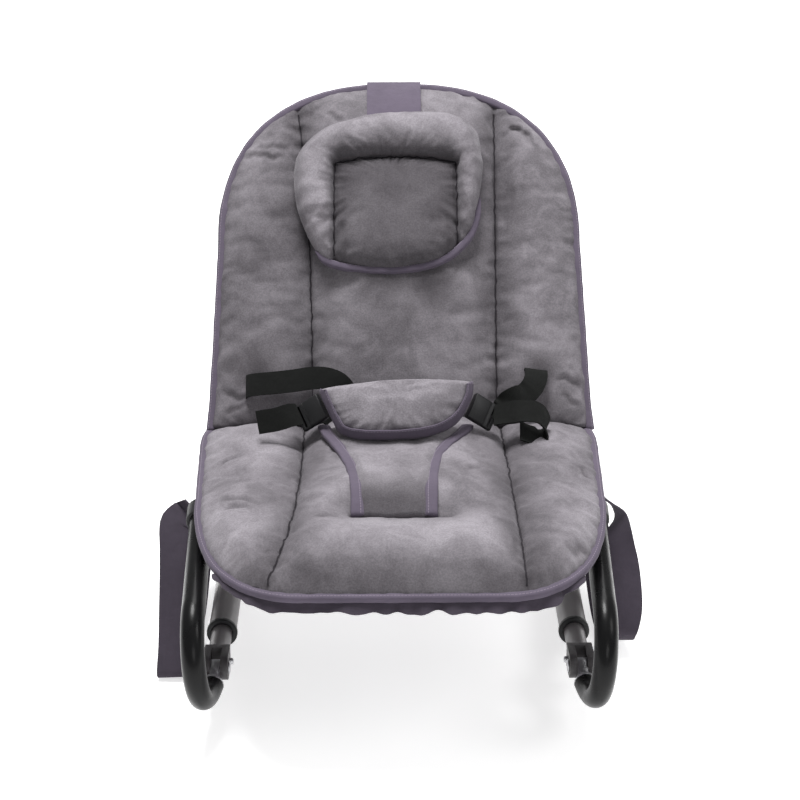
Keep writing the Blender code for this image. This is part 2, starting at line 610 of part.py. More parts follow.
for word, side in SIDES:
    # Seat half
    bm = bmesh.new()
    turned(bm, Vector((0, 0, 0)), side * X,
           [(hub_inner_x, HUB_R - 0.002), (hub_inner_x + 0.002, HUB_R), (hub_split_x, HUB_R)])
    piece = add_object(f"hub_seat_{word}", bm, GREY_PLASTIC, seat_plane)
    bm = bmesh.new()
    turned(bm, Vector((side * SEAT_LOOP_X, 0, 0)), -Y,
           [(HUB_R - 0.006, 0.0066), (HUB_R + FIT, 0.0066), (HUB_R + 0.006, HUB_SOCKET_R),
            (HUB_SOCKET_END - 0.001, HUB_SOCKET_R), (HUB_SOCKET_END, HUB_SOCKET_R - 0.001)],
           sides=20)
    combine(piece, helper(f"hub_seat_boss_{word}", bm, seat_plane), "UNION")
    bm = bmesh.new()
    turned(bm, Vector((side * SEAT_LOOP_X, 0, 0)), -Y,
           [(TUBE_START - FIT, LOOP_D / 2 + FIT), (2 * HUB_SOCKET_END, LOOP_D / 2 + FIT)], sides=20)
    combine(piece, helper(f"hub_seat_socket_{word}", bm, seat_plane), "DIFFERENCE")
    bm = bmesh.new()
    room = toothed(GEAR_R + FIT, GEAR_ROOT_R + FIT, GEAR_TEETH)
    extruded(bm, room, side * (hub_split_x - GEAR_ROOM), side * (hub_split_x + 0.001))
    combine(piece, helper(f"hub_seat_gear_room_{word}", bm, seat_plane), "DIFFERENCE")
    bm = bmesh.new()
    turned(bm, Vector((0, 0, 0)), side * X,
           [(hub_inner_x - 0.01, HUB_PIN_R + FIT), (hub_outer_x, HUB_PIN_R + FIT)], sides=16)
    combine(piece, helper(f"hub_seat_bore_{word}", bm, seat_plane), "DIFFERENCE")

    # Lock gear, drawn back into the seat half
    bm = bmesh.new()
    gear_x = hub_split_x - FIT - GEAR_THICK
    extruded(bm, toothed(GEAR_R, GEAR_ROOT_R, GEAR_TEETH), side * gear_x,
             side * (gear_x + GEAR_THICK))
    piece = add_object(f"lock_gear_{word}", bm, STEEL, seat_plane, smooth_angle=20)
    bm = bmesh.new()
    turned(bm, Vector((0, 0, 0)), side * X,
           [(hub_inner_x, HUB_PIN_R + FIT), (hub_outer_x, HUB_PIN_R + FIT)], sides=16)
    combine(piece, helper(f"lock_gear_bore_{word}", bm, seat_plane), "DIFFERENCE")

    # Pin: riveted over the seat half, ending behind the button
    pin_end = hub_outer_x - RECLINE_BUTTON_ROOM - 0.0012
    bm = bmesh.new()
    turned(bm, Vector((0, 0, 0)), side * X,
           [(hub_inner_x - FIT - PIN_HEAD, PIN_HEAD_R - 0.001), (hub_inner_x - FIT, PIN_HEAD_R),
            (hub_inner_x - FIT, HUB_PIN_R), (pin_end, HUB_PIN_R)], sides=16)
    add_object(f"hub_pin_{word}", bm, STEEL, seat_plane)

    # Back half
    bm = bmesh.new()
    turned(bm, Vector((0, 0, 0)), side * X,
           [(hub_split_x + FIT, HUB_R), (hub_outer_x - 0.002, HUB_R), (hub_outer_x, HUB_R - 0.002)])
    piece = add_object(f"hub_back_{word}", bm, GREY_PLASTIC, back_plane)
    bm = bmesh.new()
    turned(bm, Vector((side * BACK_LOOP_X, 0, 0)), Y,
           [(HUB_R - 0.006, 0.0055), (HUB_R + FIT, 0.0055), (HUB_R + 0.006, HUB_SOCKET_R),
            (HUB_SOCKET_END - 0.001, HUB_SOCKET_R), (HUB_SOCKET_END, HUB_SOCKET_R - 0.001)],
           sides=20)
    combine(piece, helper(f"hub_back_boss_{word}", bm, back_plane), "UNION")
    bm = bmesh.new()
    turned(bm, Vector((side * BACK_LOOP_X, 0, 0)), Y,
           [(TUBE_START - FIT, LOOP_D / 2 + FIT), (2 * HUB_SOCKET_END, LOOP_D / 2 + FIT)], sides=20)
    combine(piece, helper(f"hub_back_socket_{word}", bm, back_plane), "DIFFERENCE")
    bm = bmesh.new()
    turned(bm, Vector((0, 0, 0)), side * X,
           [(hub_outer_x - RECLINE_BUTTON_ROOM, RECLINE_BUTTON_R + FIT),
            (hub_outer_x + 0.01, RECLINE_BUTTON_R + FIT)], sides=20)
    combine(piece, helper(f"hub_button_room_{word}", bm, back_plane), "DIFFERENCE")
    bm = bmesh.new()
    turned(bm, Vector((0, 0, 0)), side * X,
           [(hub_inner_x, HUB_PIN_R + FIT), (pin_end + FIT, HUB_PIN_R + FIT)], sides=16)
    combine(piece, helper(f"hub_back_bore_{word}", bm, back_plane), "DIFFERENCE")

    # Recline button, sprung outwards in the back half
    button_x = hub_outer_x - RECLINE_BUTTON_ROOM + RECLINE_BUTTON_TRAVEL + FIT
    button = empty(f"recline_button_frame_{word}", (side * button_x, 0, 0), 0.0, back_plane)
    bm = bmesh.new()
    turned(bm, Vector((0, 0, 0)), side * X,
           [(0, RECLINE_BUTTON_R), (RECLINE_BUTTON_HIGH - 0.001, RECLINE_BUTTON_R),
            (RECLINE_BUTTON_HIGH, RECLINE_BUTTON_R - 0.001)], sides=20)
    add_object(f"recline_button_{word}", bm, BLACK_PLASTIC, button)


# Padded cover: a seat pad and a back pad that meet along the crease
def seat_half(s):
    """Half the seat pad's width at a distance in front of the crease."""
    if s <= SEAT_CORNER_START:
        share = s / SEAT_CORNER_START
        return SEAT_CREASE_HALF + (SEAT_HALF - SEAT_CREASE_HALF) * share
    share = (s - SEAT_CORNER_START) / (SEAT_LENGTH - SEAT_CORNER_START)
    return SEAT_CORNER_X + (SEAT_HALF - SEAT_CORNER_X) * math.sqrt(max(0.0, 1 - share**2))


def back_half(b):
    """Half the back pad's width at a distance up from the crease."""
    if b <= BACK_CORNER_START:
        share = b / BACK_CORNER_START
        return BACK_LOW_HALF + (BACK_HALF - BACK_LOW_HALF) * share
    share = (b - BACK_CORNER_START) / (BACK_LENGTH - BACK_CORNER_START)
    power = BACK_CORNER_POWER
    return BACK_HALF * max(0.0, 1 - share**power) ** (1 / power)


def groove(distance):
    return SEAM_DEPTH * math.exp(-((distance / SEAM_WIDTH) ** 2))


def pad_height(u, along, length, channel):
    """Height of a pad's top: crowned across, rolled down to the rim, with sewn seams."""
    crown = (1 - abs(u) ** 3.5) ** 0.6
    roll_start = 0.78 * length
    if along > roll_start:
        crown *= max(0.0, 1 - ((along - roll_start) / (length - roll_start)) ** 2.6) ** 0.6
    drop = groove((abs(u) - SEAM_X / SEAT_HALF) * SEAT_HALF)
    if channel and abs(u) < SEAM_X / SEAT_HALF:
        drop = max(drop, groove(along - channel))
    return PAD_RIM + max(0.0, (PAD_CROWN - PAD_RIM) * crown - drop * min(1.0, 2 * crown))


U_SEAM = SEAM_X / SEAT_HALF
COLUMNS = [-1.0, -0.96, -0.86, -0.72, -0.59, -U_SEAM, -0.38, -0.2, 0.0,
           0.2, 0.38, U_SEAM, 0.59, 0.72, 0.86, 0.96, 1.0]
crease_lean = math.tan((SEAT_TILT + BACK_ANGLE) / 2)


def pad(name, half_width, rows, length, channel, direction, parent):
    """A closed cushion: a top sheet and a flat underside, drawn in at the sides."""
    bm = bmesh.new()
    rings = []
    for row, along in enumerate(rows):
        half = half_width(along)
        tops = []
        for u in COLUMNS:
            top = pad_height(u, along, length, channel)
            start = top * crease_lean + CREASE_GAP if row == 0 else along
            tops.append(Vector((u * half, direction * start, top)))
        tuck = min(PAD_INSET, half * 0.3)
        at_end = along == rows[-1]
        start = PAD_UNDER * crease_lean + CREASE_GAP if row == 0 else along - at_end * PAD_INSET
        unders = [Vector((u * (half - tuck), direction * start, PAD_UNDER)) for u in COLUMNS]
        rings.append(tops + unders[::-1])
    skin(bm, rings)
    piece = add_object(name, bm, VELOUR, parent, smooth_angle=60)
    for word, side in SIDES:
        bm = bmesh.new()
        turned(bm, Vector((0, 0, 0)), side * X,
               [(hub_inner_x - 0.006, HUB_POCKET_R), (SEAT_HALF + 0.03, HUB_POCKET_R)])
        combine(piece, helper(f"{name}_hub_pocket_{word}", bm, parent), "DIFFERENCE")
    return piece


BEHIND_CHANNEL = (0.0, 0.142, 0.271, 0.4375, 0.625, 0.792, 0.925, 1.0)
BEFORE_CHANNEL = (0.164, 0.409, 0.618, 0.80, 0.927, 1.0)
BACK_ROWS = (0.0, 0.080, 0.165, 0.271, 0.389, 0.507, 0.613, 0.7075, 0.778, 0.8396, 0.8915,
             0.934, 0.967, 0.988, 0.999)
seat_rows = [SEAT_CHANNEL * share for share in BEHIND_CHANNEL]
seat_rows += [SEAT_CHANNEL + (SEAT_LENGTH - SEAT_CHANNEL) * share for share in BEFORE_CHANNEL]
back_rows = [BACK_LENGTH * share for share in BACK_ROWS]
pad("seat_pad", seat_half, seat_rows, SEAT_LENGTH, SEAT_CHANNEL, -1, seat_plane)
pad("back_pad", back_half, back_rows, BACK_LENGTH, 0.0, 1, back_plane)


# Headrest: a soft roll round a flat middle, hung from the top of the back by a band
def headrest_height(u, v):
    """Height of the headrest's top over its underside, as a share of its full depth."""
    edge = (1 - abs(u) ** 4) ** 0.55 * (1 - abs(v) ** 4) ** 0.55
    middle = max(0.0, 1 - (abs(u) / PANEL_HALF_U) ** 6)
    middle *= max(0.0, 1 - (abs(v + PANEL_LOW_V) / PANEL_HALF_V) ** 6)
    return edge * (1 - PANEL_DIP * middle)


headrest_axis = empty("headrest_axis", (HEADREST_X, HEADREST_TOP, PAD_CROWN + REST), 0.0,
                      back_plane)
steps = [-1.0, -0.93, -0.8, -0.64, -0.5, -0.25, 0.0, 0.25, 0.5, 0.64, 0.8, 0.93, 1.0]
half_w = HEADREST_WIDTH / 2
half_h = (HEADREST_TOP - HEADREST_BOTTOM) / 2
bm = bmesh.new()
rings = []
for v in steps:
    narrow = 1 - 0.22 * max(0.0, -v) ** 1.5
    corner = (1 - abs(v) ** 6) ** 0.5 * 0.42 + 0.58
    half = half_w * narrow * corner
    y = (v - 1) * half_h
    tops = [Vector((u * half, y, 0.006 + (HEADREST_THICK - 0.006) * headrest_height(u, v)))
            for u in steps]
    unders = [Vector((u * (half - 0.005), y, 0)) for u in steps]
    rings.append(tops + unders[::-1])
skin(bm, rings)
add_object("headrest", bm, VELOUR, headrest_axis, smooth_angle=60)


def ribbon(path, axis_at, width, thick):
    """Rings of a flat band along a path; axis_at gives its wide axis at a share of the way."""
    rings = []
    for i, (point, tangent) in enumerate(zip(path, tangents(path))):
        axis = axis_at(i / (len(path) - 1))
        across = (axis - axis.dot(tangent) * tangent).normalized()
        normal = tangent.cross(across).normalized()
        rings.append([point + sx * across * width / 2 + sz * normal * thick / 2
                      for sx, sz in ((-1, -1), (1, -1), (1, 1), (-1, 1))])
    return rings


def back_top(b):
    return pad_height(0.0, b, BACK_LENGTH, 0.0)


band_lift = BAND_SLACK + BAND_THICK / 2
band = [Vector((0, b, back_top(b) + band_lift))
        for b in [BACK_LENGTH - BAND_OVERLAP * share for share in (1.0, 0.7, 0.41, 0.18)]]
band_out = BAND_SLACK + BAND_THICK
band_under = LOOP_D / 2 + REST + band_lift
band += [Vector((0, BACK_LENGTH + band_out, PAD_RIM + 0.002)),
         Vector((0, BACK_LENGTH + band_out, PAD_UNDER - 0.004)),
         Vector((0, back_loop_length + LOOP_D / 2 + BAND_SLACK + band_out, -0.007)),
         Vector((0, back_loop_length + 0.004, -band_under)),
         Vector((0, back_loop_length - BAND_TUCK, -band_under))]
bm = bmesh.new()
skin(bm, ribbon(band, lambda share: X, BAND_WIDTH, BAND_THICK))
add_object("headrest_band", bm, COVER_CLOTH, back_plane)


# Hem: the gathered border of the cover, drawn round the front of the seat frame
def hem_point(angle, h, outward):
    """A point on the front outline of the seat pad, at an angle round its corners."""
    half_angle = math.radians(angle)
    a = SEAT_HALF - SEAT_CORNER_X + outward
    b = SEAT_LENGTH - SEAT_CORNER_START + outward
    x = SEAT_CORNER_X + a * math.cos(half_angle)
    s = SEAT_CORNER_START + b * math.sin(half_angle)
    return Vector((x, -s, h))


hem_high = PAD_UNDER - REST
hem_low = hem_high - HEM_DROP
rings = []
hem_angles = [52, 60, 68, 76, 84, 90]
for side in (LEFT, RIGHT):
    for angle in hem_angles[::side] if side == RIGHT else hem_angles:
        ring_points = []
        for inward, h in ((HEM_INSET + HEM_THICK, hem_high), (HEM_INSET, hem_high),
                          (HEM_INSET, hem_low), (HEM_INSET + HEM_THICK, hem_low)):
            p = hem_point(angle, h, -inward)
            ring_points.append(Vector((side * p.x, p.y, p.z)))
        rings.append(ring_points)
hem_rings = rings[:len(hem_angles)] + rings[len(hem_angles):][::-1]
bm = bmesh.new()
skin(bm, hem_rings)
add_object("cover_hem", bm, COVER_CLOTH, seat_plane)


# Harness: a curved belly pad on a crotch strap, with a buckle and a belt at each end
BELLY_FOOT = Vector((0, -0.0985, 0.0505))
BELLY_RISE = Vector((0, 0.034, 0.056))
BELLY_WRAP = 0.022
belly_up = BELLY_RISE.normalized()
belly_out = X.cross(belly_up)


def belly_half(v):
    """Half the belly pad's width from its foot (0) to its top edge (1)."""
    return BELLY_WIDTH / 2 * (0.36 + 0.64 * math.sin(math.pi / 2 * v) ** 0.55)


def belly_point(u, v, depth):
    """A point on the belly pad: across, up, and forward from its back face."""
    half = belly_half(v)
    wrap = BELLY_WRAP * (u * half / (BELLY_WIDTH / 2)) ** 2
    return BELLY_FOOT + BELLY_RISE * v + X * (u * half) + belly_out * (depth - wrap)


bm = bmesh.new()
rings = []
for v in (0.0, 0.06, 0.16, 0.32, 0.52, 0.74, 0.92, 1.0):
    across = [-1.0, -0.9, -0.6, -0.3, 0.0, 0.3, 0.6, 0.9, 1.0]
    swell = 0.006 + (BELLY_THICK - 0.006) * (1 - (2 * v - 1) ** 6)
    front = [belly_point(u, v, 0.005 + (swell - 0.005) * (1 - u**6)) for u in across]
    rings.append(front + [belly_point(u, v, 0.0) for u in across[::-1]])
skin(bm, rings)
add_object("belly_pad", bm, VELOUR, seat_plane, smooth_angle=60)

# Each ring of the strap: how far it is from the channel to the belly pad, its lift, its half width
STRAP_RINGS = ((0.0, 0.0, 0.036), (0.25, 0.0, 0.036), (0.54, 0.0, 0.038), (0.79, 0.0006, 0.044),
               (1.0, 0.0022, 0.056))
crotch_top = PAD_CROWN + REST
crotch_end = REST - belly_point(0.0, 0.06, 0.0097).y
crotch_front = SEAT_CHANNEL - 1.5 * SEAM_WIDTH
strap = [(crotch_front + 1.1 * SEAM_WIDTH, crotch_top - CROTCH_DIP, STRAP_RINGS[0][2])]
strap += [(crotch_front + (crotch_end - crotch_front) * share, crotch_top + lift, half)
          for share, lift, half in STRAP_RINGS]
bm = bmesh.new()
rings = []
for s, under, half in strap:
    across = (-1.0, -0.85, -0.4, 0.4, 0.85, 1.0)
    tops = [Vector((u * half, -s, under + CROTCH_EDGE + (CROTCH_THICK - CROTCH_EDGE) * (1 - u**6)))
            for u in across]
    rings.append(tops + [Vector((u * half, -s, under)) for u in across[::-1]])
skin(bm, rings)
add_object("crotch_strap", bm, VELOUR, seat_plane, smooth_angle=60)


def turned_frame(name, location, ex, ey, parent):
    """An empty whose X and Y axes point along two given directions."""
    ez = ex.cross(ey).normalized()
    frame = empty(name, location, 0.0, parent)
    frame.rotation_euler = Matrix((ex, ey, ez)).transposed().to_euler()
    bpy.context.view_layer.update()
    return frame


def smooth_route(points, steps):
    """A curve through points: each stretch is a cubic with slopes from its neighbours."""
    route = []
    count = len(points)
    for i in range(count - 1):
        before = points[max(i - 1, 0)]
        after = points[min(i + 2, count - 1)]
        a, b = points[i], points[i + 1]
        slope_a = (b - before) / (2 if i else 1)
        slope_b = (after - a) / (2 if i + 2 < count else 1)
        for k in range(steps):
            t = k / steps
            route.append((2 * t**3 - 3 * t**2 + 1) * a + (t**3 - 2 * t**2 + t) * slope_a
                         + (3 * t**2 - 2 * t**3) * b + (t**3 - t**2) * slope_b)
    route.append(points[-1])
    return route


for word, side in SIDES:
    # Buckle: a socket sewn to the belly pad and a plug that slides out of it
    v = BUCKLE_RISE
    at = belly_point(side, v, 0.0)
    edge = (belly_point(side, v + 0.01, 0.0) - at).normalized()
    outward = at - belly_point(side * 0.98, v, 0.0)
    outward = (outward - outward.dot(edge) * edge).normalized()
    forward = (side * outward).cross(edge)
    frame = turned_frame(f"buckle_frame_{word}", at + outward * 2 * FIT + forward * BUCKLE_FORWARD,
                         side * outward, edge, seat_plane)
    h, t = BUCKLE_HEIGHT / 2, BUCKLE_THICK / 2

    def block(x_from, x_to, half_y, half_z):
        """A block that reaches outwards from the belly pad."""
        low, high = sorted((side * x_from, side * x_to))
        bm = bmesh.new()
        box(bm, (low, -half_y, -half_z), (high, half_y, half_z))
        return bm

    bm = block(0, BUCKLE_LENGTH, h, t)
    edges = [e for e in bm.edges if abs((e.verts[0].co - e.verts[1].co).x) > 0.01]
    bmesh.ops.bevel(bm, geom=edges, offset=0.0025, segments=2, affect="EDGES", profile=0.5)
    piece = add_object(f"buckle_socket_{word}", bm, BLACK_PLASTIC, frame)
    slot_h, slot_t = h - 0.004, 0.0027
    slot_floor = BUCKLE_LENGTH - PRONG_LENGTH - FIT
    bm = block(slot_floor, BUCKLE_LENGTH + 0.01, slot_h + FIT, slot_t + FIT)
    combine(piece, helper(f"socket_slot_{word}", bm, frame), "DIFFERENCE")

    plug = turned_frame(f"plug_frame_{word}", (side * (BUCKLE_LENGTH + FIT), 0, 0), X, Y, frame)
    bm = block(0, 0.011, h, t - 0.001)
    edges = [e for e in bm.edges if abs((e.verts[0].co - e.verts[1].co).x) > 0.01]
    bmesh.ops.bevel(bm, geom=edges, offset=0.0020, segments=2, affect="EDGES", profile=0.5)
    piece = add_object(f"buckle_plug_{word}", bm, BLACK_PLASTIC, plug)
    for part, sign in (("upper", 1), ("lower", -1)):
        bm = bmesh.new()
        low, high = sorted((-side * (PRONG_LENGTH - FIT), side * 0.002))
        ends = sorted((sign * slot_h, sign * (slot_h - 0.0045)))
        box(bm, (low, ends[0], -slot_t), (high, ends[1], slot_t))
        combine(piece, helper(f"plug_prong_{part}_{word}", bm, plug), "UNION")
    bm = bmesh.new()
    low, high = sorted((side * 0.0045, side * 0.0075))
    box(bm, (low, -WEBBING_WIDTH / 2 - FIT, -t), (high, WEBBING_WIDTH / 2 + FIT, t))
    combine(piece, helper(f"plug_webbing_slot_{word}", bm, plug), "DIFFERENCE")

    # Waist belt: webbing from the plug's outer bar back to its slot in the back pad
    to_plane = seat_plane.matrix_world.inverted()
    turn = to_plane.to_3x3() @ plug.matrix_world.to_3x3()
    start = to_plane @ (plug.matrix_world @ Vector((side * (0.011 + REST), 0, 0)))
    out = turn @ Vector((side, 0, 0))
    u = BELT_SLOT_X / back_half(BELT_SLOT_B)
    top = max(pad_height(u + du, BELT_SLOT_B + db, BACK_LENGTH, 0.0)
              for du in (-0.02, 0.0, 0.02) for db in (-WEBBING_WIDTH / 2, 0.0, WEBBING_WIDTH / 2))
    to_plane = to_plane @ back_plane.matrix_world
    end = to_plane @ Vector((side * BELT_SLOT_X, BELT_SLOT_B, top + 3 * REST))
    rise = to_plane.to_3x3() @ Z
    up_start = turn @ Y
    up_end = to_plane.to_3x3() @ Y
    pulls = [start + lead * out for lead in BELT_LEADS] + [end + lead * rise for lead in BELT_RISES]
    route = [start]
    for i in range(11):
        k = i / 10
        route.append((1 - k) ** 3 * pulls[0] + 3 * k * (1 - k) ** 2 * pulls[1]
                     + 3 * k**2 * (1 - k) * pulls[2] + k**3 * pulls[3])
    route.append(end)
    bm = bmesh.new()
    skin(bm, ribbon(route, lambda share: up_start.lerp(up_end, share), WEBBING_WIDTH,
                    WEBBING_THICK))
    add_object(f"waist_belt_{word}", bm, WEBBING, seat_plane)


# Carry handles: bands sewn to the cover's edge that hang in a loop at each side
HANDLE_FRONT_S = 0.110
HANDLE_REAR_S = 0.034
HANDLE_ROUTE = ((0.2262, -0.076, 0.150), (0.236, -0.104, 0.110), (0.2365, -0.150, 0.058),
                (0.2365, -0.181, 0.022), (0.234, -0.170, 0.0075), (0.228, -0.125, 0.0085),
                (0.225, -0.070, 0.020), (0.2245, -0.020, 0.060), (0.2240, 0.002, 0.115))


def handle_anchor(side, s):
    """Where a handle is sewn on: against the rim of the seat pad."""
    out = seat_half(s) + HANDLE_THICK / 2 + 2 * REST
    return seat_plane.matrix_world @ Vector((side * out, -s, PAD_RIM))


for word, side in SIDES:
    points = [Vector((side * x, y, z)) for x, y, z in HANDLE_ROUTE]
    points = [handle_anchor(side, HANDLE_FRONT_S), *points, handle_anchor(side, HANDLE_REAR_S)]
    points = [point - clevis_axis.location for point in points]
    route = smooth_route(points, 3)

    def handle_axis(share):
        """Along Y where the band is sewn on, turned to lie across X in the loop."""
        twist = math.pi / 2 * min(1.0, 5 * min(share, 1 - share))
        return math.cos(twist) * Y + math.sin(twist) * side * X

    bm = bmesh.new()
    skin(bm, ribbon(route, handle_axis, HANDLE_WIDTH, HANDLE_THICK))
    add_object(f"carry_handle_{word}", bm, COVER_CLOTH, clevis_axis)

bpy.context.view_layer.update()
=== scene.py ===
import json
import math
from typing import NamedTuple

import bmesh
import bpy
import numpy as np
from mathutils import Matrix, Vector, noise
from mathutils.bvhtree import BVHTree


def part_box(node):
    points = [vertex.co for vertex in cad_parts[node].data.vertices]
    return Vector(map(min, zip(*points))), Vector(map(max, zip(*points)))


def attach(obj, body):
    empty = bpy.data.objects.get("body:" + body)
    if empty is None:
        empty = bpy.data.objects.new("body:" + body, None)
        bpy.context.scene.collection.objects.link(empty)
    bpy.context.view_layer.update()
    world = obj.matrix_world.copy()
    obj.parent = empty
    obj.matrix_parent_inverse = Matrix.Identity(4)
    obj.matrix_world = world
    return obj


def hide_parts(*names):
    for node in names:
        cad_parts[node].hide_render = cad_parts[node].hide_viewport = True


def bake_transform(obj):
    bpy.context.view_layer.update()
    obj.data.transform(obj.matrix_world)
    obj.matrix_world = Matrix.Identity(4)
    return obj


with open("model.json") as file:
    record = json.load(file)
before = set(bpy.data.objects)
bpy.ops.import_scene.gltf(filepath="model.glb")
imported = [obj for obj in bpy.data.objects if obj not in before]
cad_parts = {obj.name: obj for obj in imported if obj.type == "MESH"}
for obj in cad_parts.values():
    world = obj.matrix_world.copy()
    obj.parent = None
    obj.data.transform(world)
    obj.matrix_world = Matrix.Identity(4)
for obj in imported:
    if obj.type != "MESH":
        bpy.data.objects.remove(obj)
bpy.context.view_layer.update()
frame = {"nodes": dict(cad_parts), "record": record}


# Camera: the place, angle and length of lens that the photograph was taken with. The shift puts
# the rocker a little below the middle of the square frame, as it stands there.
VIEW_FROM = Vector((-0.0155, -1.7915, 1.2777))
VIEW_AT = Vector((0.0, -0.0105, 0.2))
LENS_MM = 85.3
camera_data = bpy.data.cameras.new("camera")
camera_data.lens = LENS_MM
camera_data.sensor_width = 36.0
camera_data.shift_x = 0.0039
camera_data.shift_y = 0.0306
camera = bpy.data.objects.new("camera", camera_data)
camera.location = VIEW_FROM
camera.rotation_euler = (VIEW_AT - VIEW_FROM).to_track_quat("-Z", "Y").to_euler()
bpy.context.scene.collection.objects.link(camera)
bpy.context.scene.camera = camera


# Studio: a large soft light overhead and weaker ones at the front, right and back. The pale floor is
# given a glow, painted light that lifts the shadows under the rocker, so that only the shadows close
# to the feet show.
def soft_light(name, place, aim, size, power, colour=(1, 1, 1)):
    data = bpy.data.lights.new(name, "AREA")
    data.shape = "DISK"
    data.size = size
    data.energy = power
    data.color = colour
    light = bpy.data.objects.new(name, data)
    light.location = place
    light.rotation_euler = (Vector(aim) - Vector(place)).to_track_quat("-Z", "Y").to_euler()
    bpy.context.scene.collection.objects.link(light)


soft_light("key_light", (-0.25, 0.5, 2.7), (0, -0.05, 0.2), 1.1, 96)
soft_light("side_light", (1.9, -0.7, 1.9), (0, 0, 0.2), 1.0, 12)
soft_light("back_light", (0.2, 1.7, 2.2), (0, 0, 0.2), 1.4, 18)
soft_light("front_light", (0.5, -2.6, 1.2), (0, 0, 0.1), 1.0, 8)
world = bpy.data.worlds.new("studio")
world.use_nodes = True
world.node_tree.nodes["Background"].inputs["Color"].default_value = (1.0, 1.0, 1.0, 1)
world.node_tree.nodes["Background"].inputs["Strength"].default_value = 0.36
bpy.context.scene.world = world
bpy.context.scene.view_settings.view_transform = "Standard"


class Finish:
    """A material's nodes: each call adds one, fills or links its inputs and returns its output."""

    def __init__(self, name):
        self.material = bpy.data.materials.new(name)
        self.material.use_nodes = True
        self.tree = self.material.node_tree
        self.shader = self.tree.nodes["Principled BSDF"]
        self.place = self.tree.nodes.new("ShaderNodeTexCoord").outputs["Object"]

    def put(self, socket, value):
        if isinstance(value, bpy.types.NodeSocket):
            self.tree.links.new(value, socket)
        else:
            socket.default_value = value

    def set(self, **values):
        for name, value in values.items():
            self.put(self.shader.inputs[name.replace("_", " ")], value)

    def node(self, kind, output, inputs=(), **settings):
        node = self.tree.nodes.new("ShaderNode" + kind)
        for name, value in settings.items():
            setattr(node, name, value)
        for name, value in dict(inputs).items():
            self.put(node.inputs[name], value)
        return node.outputs[output]

    def cloud(self, scale, detail=3.0, rough=0.5, warp=0.0):
        return self.node("TexNoise", "Fac", {"Vector": self.place, "Scale": scale, "Detail": detail,
                                             "Roughness": rough, "Distortion": warp})

    def waves(self, scale, at, direction):
        return self.node("TexWave", "Fac", {"Vector": at, "Scale": scale},
                         bands_direction=direction)

    def sum(self, a, b, kind="ADD", clamp=False):
        return self.node("Math", "Value", {0: a, 1: b}, operation=kind, use_clamp=clamp)

    def stretch(self, value, low, high, to_low=0.0, to_high=1.0):
        return self.node("MapRange", "Result", {"Value": value, "From Min": low, "From Max": high,
                                                "To Min": to_low, "To Max": to_high},
                         interpolation_type="SMOOTHSTEP")

    def mixed(self, share, a, b, kind="MIX"):
        a, b = ((*tint, 1) if isinstance(tint, tuple) else tint for tint in (a, b))
        return self.node("Mix", 2, {"Factor": share, 6: a, 7: b}, data_type="RGBA",
                         blend_type=kind)

    def relief(self, height, strength, depth, under=None):
        inputs = {"Height": height, "Strength": strength, "Distance": depth}
        if under:
            inputs["Normal"] = under
        return self.node("Bump", "Normal", inputs)


floor_finish = Finish("studio_floor")
# The floor's emission is painted light: it brightens the shade under the seat and runners.
floor_finish.set(Base_Color=floor_finish.mixed(floor_finish.cloud(3.0), (0.88, 0.88, 0.88),
                                               (0.9, 0.9, 0.9)), Roughness=0.9,
                 Emission_Color=(1, 1, 1, 1), Emission_Strength=0.6)
bm = bmesh.new()
bmesh.ops.create_grid(bm, x_segments=2, y_segments=2, size=8.0)
floor_mesh = bpy.data.meshes.new("floor")
bm.to_mesh(floor_mesh)
floor = bpy.data.objects.new("floor", floor_mesh)
floor_mesh.materials.append(floor_finish.material)
bpy.context.scene.collection.objects.link(floor)


# Padded cover, seat and back: one velour cushion cover over polyester filling, quilted by two
# long seams, with a cross seam that makes a roll at the knees. It is sewn in two halves, which
# meet in the crease between seat and back.
CREASE = Vector((0, 0.038, 0.147))
SEAT_TILT = math.radians(6.0)
BACK_ANGLE = math.radians(47.8)
seat_frame = Matrix.Translation(CREASE) @ Matrix.Rotation(-SEAT_TILT, 4, "X")
back_frame = Matrix.Translation(CREASE) @ Matrix.Rotation(BACK_ANGLE, 4, "X")
crease_lean = math.tan((SEAT_TILT + BACK_ANGLE) / 2)
PAD_UNDER = 0.0134
PAD_RIM = 0.02
PAD_CROWN = 0.0435
SEAT_LENGTH = 0.357
SEAT_SHIFT = 0.0023
SEAT_DROOP = 0.0125
KNEE_SEAM = 0.24
KNEE_SEAM_HALF = 0.05
BACK_LENGTH = 0.4175
BACK_SHIFT = 0.0043
HUB_POCKET_R = 0.0245
HUB_INNER_X = 0.1695
GROOVE_DEEP = 0.0155
GROOVE_REACH = 0.0105
THREAD_DEEP = 0.0034
TUCK_DEEP = 0.003
LUMP_HIGH = 0.0026
CRUMPLE_HIGH = 0.0009
FOLD_DEEP = (0.0016, 0.0025)
ROW_SPREAD = 0.85


def bell(distance, width):
    return math.exp(-((distance / width) ** 2))


def ease(share):
    share = min(1.0, max(0.0, share))
    return share * share * (3 - 2 * share)


